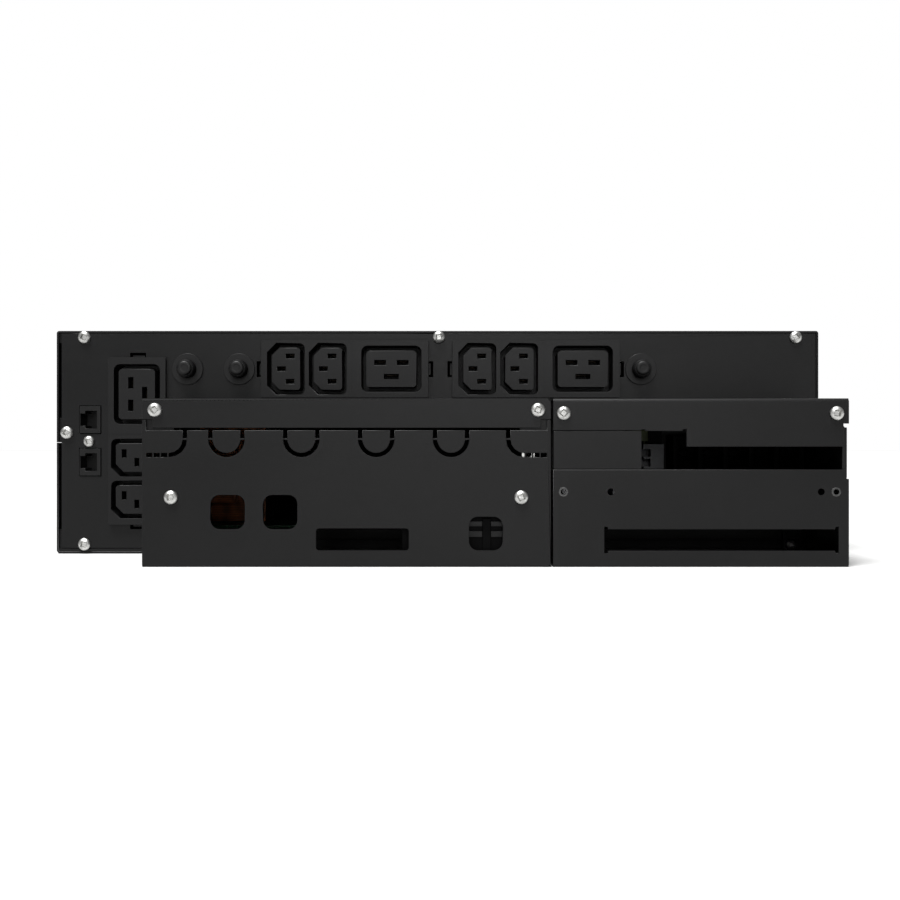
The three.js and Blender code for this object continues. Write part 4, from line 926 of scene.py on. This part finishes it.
class MakeBreakers(Step):
    """Turn the breakers' nuts, threaded necks and buttons"""

    bl_idname = "power_supply.make_breakers"
    bl_label = "Breakers"

    def make(self):
        sizes = settings("breakers")
        first = middle("breaker_1_button")
        nut, neck, button, case = self.nut(sizes), self.neck(sizes), self.button(sizes), self.case()
        for number in (1, 2, 3):
            name = f"breaker_{number}"
            at = Matrix.Translation(middle(f"{name}_button") - first)
            stand_in(copied(nut, f"{name}_ring_nut", at), "black_plastic", f"{name}_nut")
            body = united(f"{name}_body", [copied(case, "case", at), copied(neck, "neck", at)])
            stand_in(body, "black_plastic", f"{name}_case")
            cap = copied(button, f"{name}_push_button", at)
            stand_in(cap, "black_plastic", f"{name}_button")
        for piece in (nut, neck, button, case):
            bpy.data.objects.remove(piece)

    def nut(self, sizes):
        low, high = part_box("breaker_1_nut")
        centre, radius = (low + high) / 2, (high.z - low.z) / 2
        tall = high.y - low.y
        nut = drum("nut", radius, centre.x, centre.z, low.y + 0.55 * tall, high.y, 72)
        crown(nut, [(0.16 * MM, 0.16 * MM)])
        bore = drum("bore", sizes.neck + 0.1 * MM, centre.x, centre.z, low.y - 1 * MM, high.y + 1 * MM, 48)
        carve(nut, bore)
        return nut

    def neck(self, sizes):
        centre = middle("breaker_1_button")
        low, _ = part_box("breaker_1_case")
        start, end = low.y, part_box("rear_panel")[1].y + 0.8 * MM
        rings = []
        pitch = 1.0 * MM
        for turn in range(sizes.threads):
            at = start + 1.6 * MM + turn * pitch
            ring = drum("ring", sizes.neck - sizes.thread_depth, centre.x, centre.z, at, at + pitch * 0.98, 48)
            with Editing(ring, "EDGE") as shape:
                shape.pick(lambda edge: abs((edge.verts[0].co - edge.verts[1].co).normalized().y) > 0.99)
                bpy.ops.mesh.subdivide(number_cuts=1)
            with Editing(ring, "VERT") as shape:
                shape.pick(lambda vertex: abs(vertex.co.y - at - pitch * 0.49) < 0.05 * MM)
                grow = sizes.neck / (sizes.neck - sizes.thread_depth)
                bpy.ops.transform.resize(value=(grow, 1, grow), center_override=(centre.x, at, centre.z))
            rings.append(ring)
        tube = drum("neck", sizes.neck - sizes.thread_depth, centre.x, centre.z, start + 0.7 * MM, end, 64)
        crown(tube, [(0.12 * MM, 0.42 * MM), (0.28 * MM, 0.28 * MM)])
        neck = united("neck", [tube, *rings])
        well = drum("well", sizes.button + 0.25 * MM, centre.x, centre.z, start - 1 * MM, end - 1.5 * MM, 64)
        carve(neck, well)
        return neck

    def button(self, sizes):
        low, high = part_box("breaker_1_button")
        centre = (low + high) / 2
        button = drum("button", sizes.button, centre.x, centre.z, low.y + 0.75 * MM, high.y, 64)
        rim = [(0.2 * MM, 0.34 * MM), (0.35 * MM, 0.25 * MM), (0.7 * MM, 0.16 * MM)]
        crown(button, [*rim, (1.0 * MM, 0), (0.25 * MM, -0.12 * MM)])
        return button

    def case(self):
        """The breaker's body behind the panel, with its two blades."""
        low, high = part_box("breaker_1_case")
        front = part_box("rear_panel")[1].y + 0.3 * MM
        case = cuboid("case", (low.x, front, low.z), high)
        round_edges(case, 0.9 * MM, 3)
        crown(case, [(1.6 * MM, 0), (0.3 * MM, -0.8 * MM)], FORWARDS)
        blades = []
        for side in (-1, 1):
            x = (low.x + high.x) / 2 + side * 3.5 * MM
            z = (low.z + high.z) / 2
            blade = cuboid(
                "blade",
                (x - 0.4 * MM, high.y - 2 * MM, z - 3 * MM),
                (x + 0.4 * MM, high.y - 0.05 * MM, z + 3 * MM),
            )
            round_edges(blade, 0.15 * MM, 1)
            blades.append(blade)
        return united("case", [case, *blades])


class MakeJacks(Step):
    """Mould the network jacks and spring eight contact wires into each"""

    bl_idname = "power_supply.make_jacks"
    bl_label = "Network jacks"

    def make(self):
        wires = self.wires()
        first = middle("network_jack_upper")
        for node in ("network_jack_upper", "network_jack_lower"):
            stand_in(softened(node, 0.25 * MM, shortest=1.2 * MM), "black_plastic", node)
            at = Matrix.Translation(middle(node) - first)
            finished(copied(wires, f"{node}_contacts", at), "gold", like=node)
        bpy.data.objects.remove(wires)
        low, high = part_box("network_jack_lower")
        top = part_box("network_jack_upper")[1].z
        back = high.y + 0.2 * MM
        board = cuboid(
            "jack_board",
            (low.x - 1 * MM, back, low.z - 3 * MM),
            (high.x + 6 * MM, back + 1.6 * MM, top + 3 * MM),
        )
        finished(board, "board_laminate", body="chassis")

    def wires(self):
        low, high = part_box("network_jack_upper")
        centre, pitch, thick = middle("network_jack_upper"), 1.02 * MM, 0.4 * MM
        wires = []
        for number in range(8):
            z = centre.z + (number - 3.5) * pitch
            x = high.x - 2.1 * MM - 0.3 * MM
            wire = cuboid(
                "wire",
                (x - thick, low.y + 5 * MM, z - thick / 2),
                (x, low.y + 6.2 * MM, z + thick / 2),
            )
            with Editing(wire) as shape:
                shape.facing(FORWARDS)
                for along, inward in ((2.2, -0.6), (2.6, -1.2), (1.6, -0.9)):
                    extrude((inward * MM, along * MM, 0))
            round_edges(wire, 0.06 * MM, 1, shortest=0.5 * MM)
            wires.append(wire)
        return united("wires", wires)


class MakeTerminals(Step):
    """Mould the clamp block, terminal strip and signal plug, and fit their clamps and screws"""

    bl_idname = "power_supply.make_terminals"
    bl_label = "Terminals"

    def make(self):
        # The insulators, the strip's plates and screws and the shroud take the darker copy of the black
        # moulding: painted shade for the inside of the box.
        insulators = {"clamp_block": self.clamp_body(), "terminal_strip": softened("terminal_strip", 0.3 * MM)}
        for node, piece in insulators.items():
            stand_in(piece, "shaded_plastic", node)
        stand_in(softened("signal_plug", 0.3 * MM), "signal_plastic", "signal_plug")
        finished(self.clamps(), "black_plastic", like="clamp_block")
        finished(self.strip_screws(), "shaded_plastic", like="terminal_strip")
        finished(self.connector(), "grey_plastic", body="chassis")
        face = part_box("signal_plug")[0].y
        shroud = cuboid(
            "shroud",
            (118.1 * MM, face - 2 * MM, 63.3 * MM),
            (125.4 * MM, face - 0.1 * MM, 71.6 * MM),
        )
        finished(shroud, "shaded_plastic", body="chassis")

    def clamp_body(self):
        """The clamp block with an upright rib between its poles."""
        low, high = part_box("clamp_block")
        body = cuboid("clamp_body", (low.x, low.y + 1.2 * MM, low.z), high)
        round_edges(body, 0.4 * MM)
        ribs = []
        for pole in range(5):
            x = low.x + (5.25 + pole * 12.8) * MM
            ribs.append(cuboid(
                "rib",
                (x - 2.05 * MM, low.y, low.z + 2 * MM),
                (x + 2.05 * MM, low.y + 1.5 * MM, high.z - 3 * MM),
            ))
            round_edges(ribs[-1], 0.3 * MM)
        return united("clamp_block_finished", [body, *ribs])

    def clamps(self):
        """The levers of the clamps: two rows between the ribs."""
        low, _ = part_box("clamp_block")
        made = []
        for pole in range(4):
            x = low.x + (5.25 + 6.4 + pole * 12.8) * MM
            for bottom, top in ((15, 18), (20.5, 23)):
                front, back = low.y + 0.5 * MM, low.y + 1.6 * MM
                made.append(cuboid("lever", (x - 4.2 * MM, front, bottom * MM), (x + 4.2 * MM, back, top * MM)))
                round_edges(made[-1], 0.25 * MM)
        return united("clamp_levers", made)

    def connector(self):
        """The pale two-way connector in front of the signal plug."""
        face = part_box("signal_plug")[0].y
        shell = cuboid("connector", (114 * MM, face - 9 * MM, 49.4 * MM), (125.4 * MM, face, 63.2 * MM))
        round_edges(shell, 0.35 * MM)
        for z in (50.6, 56):
            carve(shell, cuboid(
                "notch",
                (112 * MM, face - 10 * MM, z * MM),
                (118.1 * MM, face - 1 * MM, (z + 4.4) * MM),
            ))
        return shell

    def strip_screws(self):
        """A domed, slotted screw on a square clamp plate for each pole of the strip."""
        low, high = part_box("terminal_strip")
        pitch = (high.x - low.x - 2 * MM) / 5
        made = []
        for pole in range(5):
            x = low.x + (2 + 5.9) * MM + pole * pitch
            z, seat = low.z + 12 * MM, low.y + 15 * MM
            plate = cuboid(
                "plate",
                (x - 4.2 * MM, seat - 1.4 * MM, z - 4.4 * MM),
                (x + 4.2 * MM, seat - 0.1 * MM, z + 4.4 * MM),
            )
            round_edges(plate, 0.3 * MM, 2)
            head = drum("head", 2.9 * MM, x, z, seat - 2.6 * MM, seat - 1.4 * MM, 28)
            crown(head, [(0.4 * MM, 0.4 * MM), (0.8 * MM, 0.2 * MM)])
            carve(head, cuboid(
                "slot",
                (x - 4 * MM, seat - 4 * MM, z - 0.4 * MM),
                (x + 4 * MM, seat - 2.3 * MM, z + 0.4 * MM),
            ))
            made += [plate, head]
        return united("strip_screws", made)


class MakeFans(Step):
    """Mould the fans' frames and their rotors with swept, twisted blades"""

    bl_idname = "power_supply.make_fans"
    bl_label = "Fans"

    def make(self):
        rotor = self.rotor(settings("fans"))
        first = middle("fan_1_frame")
        for number in (1, 2):
            frame_node, rotor_node = f"fan_{number}_frame", f"fan_{number}_rotor"
            edge = settings("sheets").moulded_edge
            stand_in(softened(frame_node, edge, triangles=True), "black_plastic", frame_node)
            at = Matrix.Translation(middle(frame_node) - first)
            stand_in(copied(rotor, f"{rotor_node}_bladed", at), "black_plastic", rotor_node)
        bpy.data.objects.remove(rotor)

    def rotor(self, sizes):
        low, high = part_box("fan_1_rotor")
        centre = middle("fan_1_frame")
        hub = drum("hub", sizes.hub, centre.x, centre.z, low.y, high.y - 1.2 * MM, 56)
        rise = 0.45 * MM
        face = [(0.5 * MM, rise), (0.9 * MM, rise), (2.4 * MM, 0.3 * MM), (0.5 * MM, -0.5 * MM), (4 * MM, 0)]
        crown(hub, face, FORWARDS)
        blades = []
        steps = 6
        reach = (sizes.tip - sizes.hub + 1.0 * MM) / steps
        depth = (high.y - low.y) * 0.8
        for number in range(sizes.blades):
            root = sizes.hub - 1.0 * MM
            middle_y = (low.y + high.y) / 2
            blade = cuboid("blade", (root - 0.2 * MM, -depth / 2, -0.8 * MM), (root, depth / 2, 0.8 * MM))
            with Editing(blade, "VERT"):
                bpy.ops.mesh.select_all(action="SELECT")
                bpy.ops.transform.rotate(value=sizes.pitch, orient_axis="X", center_override=(root, 0, 0))
            with Editing(blade) as shape:
                shape.facing((1, 0, 0))
                for step in range(steps):
                    pivot = (root + (step + 1) * reach, 0, 0)
                    extrude((reach, 0, 0.55 * MM * step))
                    bpy.ops.transform.rotate(value=sizes.twist / steps, orient_axis="X", center_override=pivot)
                    bpy.ops.transform.resize(value=(1, 0.99, 0.93), center_override=pivot)
            turn = Matrix.Rotation(number * math.tau / sizes.blades, 4, "Y")
            blade.data.transform(Matrix.Translation((centre.x, middle_y, centre.z)) @ turn)
            blades.append(blade)
        return united("rotor", [hub, *blades])


class MakeFascias(Step):
    """Mould the drawer and control fascias, the display and its housing"""

    bl_idname = "power_supply.make_fascias"
    bl_label = "Fascias and display"

    def make(self):
        sheets = settings("sheets")
        for node in ("drawer_fascia", "control_fascia"):
            piece = softened(node, sheets.fascia_edge, shortest=2.0 * MM, steps=3)
            stand_in(piece, "fascia_plastic", node)
        housing = softened("display_housing", 0.5 * MM, steps=3)
        stand_in(housing, "black_plastic", "display_housing")
        window = softened("display_window", 0.3 * MM, steps=3, shortest=0.2 * MM)
        stand_in(window, "display_glass", "display_window")


class MakeKeys(Step):
    """Mould the menu keys and the power button with its lamp"""

    bl_idname = "power_supply.make_keys"
    bl_label = "Keys"

    def make(self):
        for number in (1, 2, 3):
            node = f"menu_key_{number}"
            piece = softened(node, 0.5 * MM, shortest=0.5 * MM, steps=3)
            stand_in(piece, "key_plastic", node)
        low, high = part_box("power_button")
        centre, radius = (low + high) / 2, (high.z - low.z) / 2
        button = drum("power_button_cap", radius, centre.x, centre.z, low.y, high.y - 0.7 * MM, 64)
        rim = [(0.2 * MM, 0.4 * MM), (0.5 * MM, 0.3 * MM), (0.9 * MM, 0)]
        crown(button, [*rim, (0.5 * MM, -0.35 * MM), (1.6 * MM, -0.2 * MM)], FORWARDS)
        stand_in(button, "key_plastic", "power_button")
        back, front = high.y - 0.9 * MM, high.y - 0.45 * MM
        lens = drum("power_button_lamp", 2.1 * MM, centre.x, centre.z, back, front, 40)
        crown(lens, [(0.3 * MM, 0.15 * MM), (0.7 * MM, 0.12 * MM)], FORWARDS)
        finished(lens, "lamp", like="power_button")


class MakePowerStage(Step):
    """Make the circuit board, heat sink, transformer and capacitor, and fill the board"""

    bl_idname = "power_supply.make_power_stage"
    bl_label = "Power stage"

    # Parts on the board: across, along, width, depth and height in millimetres from the board's corner.
    relays = [(215, 30, 16, 19, 16), (215, 56, 16, 19, 16), (215, 82, 16, 19, 16), (240, 30, 14, 12, 11)]

    def make(self):
        finishes = {"power_board": "board_laminate", "heat_sink": "bare_aluminium", "transformer": "wound_iron"}
        for node, finish in finishes.items():
            piece = softened(node, 0.25 * MM if node != "transformer" else 1.2 * MM)
            stand_in(piece, finish, node)
        stand_in(self.capacitor(), "bare_aluminium", "bus_capacitor")
        finished(self.board_parts(), "black_plastic", like="power_board")

    def capacitor(self):
        """A can with a rolled groove near its foot and a scored vent on its top."""
        low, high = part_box("bus_capacitor")
        centre, radius = (low + high) / 2, (high.x - low.x) / 2
        tall = high.z - low.z - 1.2 * MM
        can = pillar("capacitor_can", radius, (centre.x, centre.y, low.z + tall / 2), tall, 64)
        top = ((0.4, 0.7), (0.8, 0.5), (1.2, -0.6), (11, 0), (0.3, -0.3))
        crown(can, [(inward * MM, outward * MM) for inward, outward in top], UPWARDS)
        for height, squeeze in ((4, 1), (5, 0.94), (6, 0.94), (7, 1)):
            with Editing(can) as shape:
                bpy.ops.mesh.select_all(action="SELECT")
                bpy.ops.mesh.bisect(plane_co=(0, 0, low.z + height * MM), plane_no=(0, 0, 1))
        with Editing(can, "VERT") as shape:
            shape.pick(lambda vertex: 4.9 * MM < vertex.co.z - low.z < 6.1 * MM)
            bpy.ops.transform.resize(value=(0.94, 0.94, 1), center_override=centre)
        return can

    def board_parts(self):
        low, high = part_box("power_board")
        made = []
        for across, along, wide, deep, tall in self.relays:
            corner = Vector((low.x + across * MM, low.y + along * MM, high.z))
            part = cuboid("relay", corner, corner + Vector((wide, deep, tall)) * MM)
            round_edges(part, 0.5 * MM, 2)
            made.append(part)
        for row in range(4):
            x, y = low.x + (140 + row * 16) * MM, low.y + 150 * MM
            small = pillar("small_capacitor", 6 * MM, (x, y, high.z + 10 * MM), 20 * MM, 32)
            crown(small, [(0.4 * MM, 0.5 * MM), (0.7 * MM, -0.3 * MM)], UPWARDS)
            made.append(small)
        return united("board_parts", made)


class MakeDrawer(Step):
    """Fold the battery tray and make the two battery packs, their terminals and the connector"""

    bl_idname = "power_supply.make_drawer"
    bl_label = "Battery drawer"

    def make(self):
        sheets = settings("sheets")
        bends = [(1, {0: side, 2: "low"}, sheets.box_bend) for side in ("low", "high")]
        tray = softened("battery_tray", sheets.broken_edge, bends=bends, triangles=True)
        stand_in(tray, "black_steel", "battery_tray")
        for number in (1, 2):
            node = f"battery_pack_{number}"
            stand_in(softened(node, 1.4 * MM, shortest=6 * MM, steps=3), "battery_plastic", node)
            finished(self.terminals(node, number), "signal_plastic", like=node)
        connector = softened("battery_connector", 0.6 * MM, steps=3)
        stand_in(connector, "grey_plastic", "battery_connector")

    def terminals(self, node, number):
        """Booted terminals along one side of a pack's top, two for each cell block."""
        low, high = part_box(node)
        step = (high.y - low.y) / 4
        side = high.x - 16 * MM if number == 1 else low.x + 16 * MM
        made = []
        for cell in range(4):
            for end in (-1, 1):
                y = low.y + (cell + 0.5) * step + end * step * 0.3
                boot = cuboid(
                    "boot",
                    (side - 7 * MM, y - 6 * MM, high.z - 0.2 * MM),
                    (side + 7 * MM, y + 6 * MM, high.z + 6 * MM),
                )
                crown(boot, [(1.6 * MM, 1.6 * MM), (1.4 * MM, 0), (0.3 * MM, -0.8 * MM)], UPWARDS)
                round_edges(boot, 0.6 * MM, 2, sharper=50)
                made.append(boot)
        return united(f"{node}_terminals", made)


# ---------------------------------------------------------------- stage


class MakeStage(Step):
    """Lay the floor, hang the lights and set the camera"""

    bl_idname = "power_supply.make_stage"
    bl_label = "Stage"

    def make(self):
        sizes = settings("stage")
        bpy.ops.object.select_all(action="DESELECT")
        bpy.ops.mesh.primitive_plane_add(size=60, location=(0, 0, -0.05 * MM))
        floor = settle("floor")
        floor.data.materials.append(finish_of("floor"))
        self.sky(sizes.sky)
        self.lamp("overhead", "SUN", sizes.overhead, (-0.45, -0.85, 2.4), angle=math.radians(24))
        for name, place in (("back_softbox", (-1.5, -2.0, 1.5)), ("front_softbox", (1.6, 2.1, 1.5))):
            self.lamp(name, "AREA", sizes.softbox, place, size=1.4)
        self.lamp("fill", "AREA", sizes.fill, (0.1, -2.6, 0.9), size=1.0)
        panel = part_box("rear_panel")[0].y
        place = (sizes.camera_side, panel - sizes.camera_distance, sizes.camera_height)
        bpy.ops.object.camera_add(location=place, rotation=(QUARTER, 0, 0))
        camera = bpy.context.object
        camera.data.lens, camera.data.sensor_width = sizes.lens, 36
        camera.data.clip_start, camera.data.clip_end = 0.01, 200
        scene = bpy.context.scene
        scene.camera = camera
        scene.view_settings.view_transform = "Standard"

    def sky(self, strength):
        """An even light from all round, which looks white behind the object."""
        world = bpy.data.worlds.new("studio")
        bpy.context.scene.world = world
        world.use_nodes = True
        nodes, links = world.node_tree.nodes, world.node_tree.links
        background = nodes["Background"]
        background.inputs["Color"].default_value = (1, 1, 1, 1)
        seen = nodes.new("ShaderNodeLightPath").outputs["Is Camera Ray"]
        level = nodes.new("ShaderNodeMapRange")
        links.new(seen, level.inputs["Value"])
        level.inputs["To Min"].default_value, level.inputs["To Max"].default_value = strength, 1.0
        links.new(level.outputs["Result"], background.inputs["Strength"])

    def lamp(self, name, kind, strength, place, **shape):
        bpy.ops.object.light_add(type=kind, location=place)
        lamp = bpy.context.object
        lamp.name, lamp.data.energy = name, strength
        for setting, value in shape.items():
            setattr(lamp.data, setting, value)
        lamp.rotation_euler = (-Vector(place)).to_track_quat("-Z", "Y").to_euler()


STEPS = [
    MakeStage,
    MakeCase,
    MakeBoxes,
    MakeOutlets,
    MakeScrews,
    MakeBreakers,
    MakeJacks,
    MakeTerminals,
    MakeFans,
    MakeFascias,
    MakeKeys,
    MakePowerStage,
    MakeDrawer,
]


class PowerSupplyPanel(bpy.types.Panel):
    """Lists the steps of the build and the sizes that they use"""

    bl_idname = "VIEW3D_PT_power_supply"
    bl_label = "Power supply"
    bl_space_type = "VIEW_3D"
    bl_region_type = "UI"
    bl_category = "Power supply"

    def draw(self, context):
        for step in STEPS:
            self.layout.operator(step.bl_idname)
        for name, group in GROUPS.items():
            box = self.layout.box()
            box.label(text=name.capitalize())
            for size in group.__annotations__:
                box.prop(settings(name), size)


def register():
    for group in (*GROUPS.values(), *STEPS, PowerSupplyPanel):
        bpy.utils.register_class(group)
    for name, group in GROUPS.items():
        setattr(bpy.types.Scene, f"power_supply_{name}", bpy.props.PointerProperty(type=group))


def unregister():
    for name in GROUPS:
        delattr(bpy.types.Scene, f"power_supply_{name}")
    for group in (PowerSupplyPanel, *reversed(STEPS), *GROUPS.values()):
        bpy.utils.unregister_class(group)


def main():
    register()
    for step in STEPS:
        family, name = step.bl_idname.split(".")
        getattr(getattr(bpy.ops, family), name)()


if __name__ == "__main__":
    main()
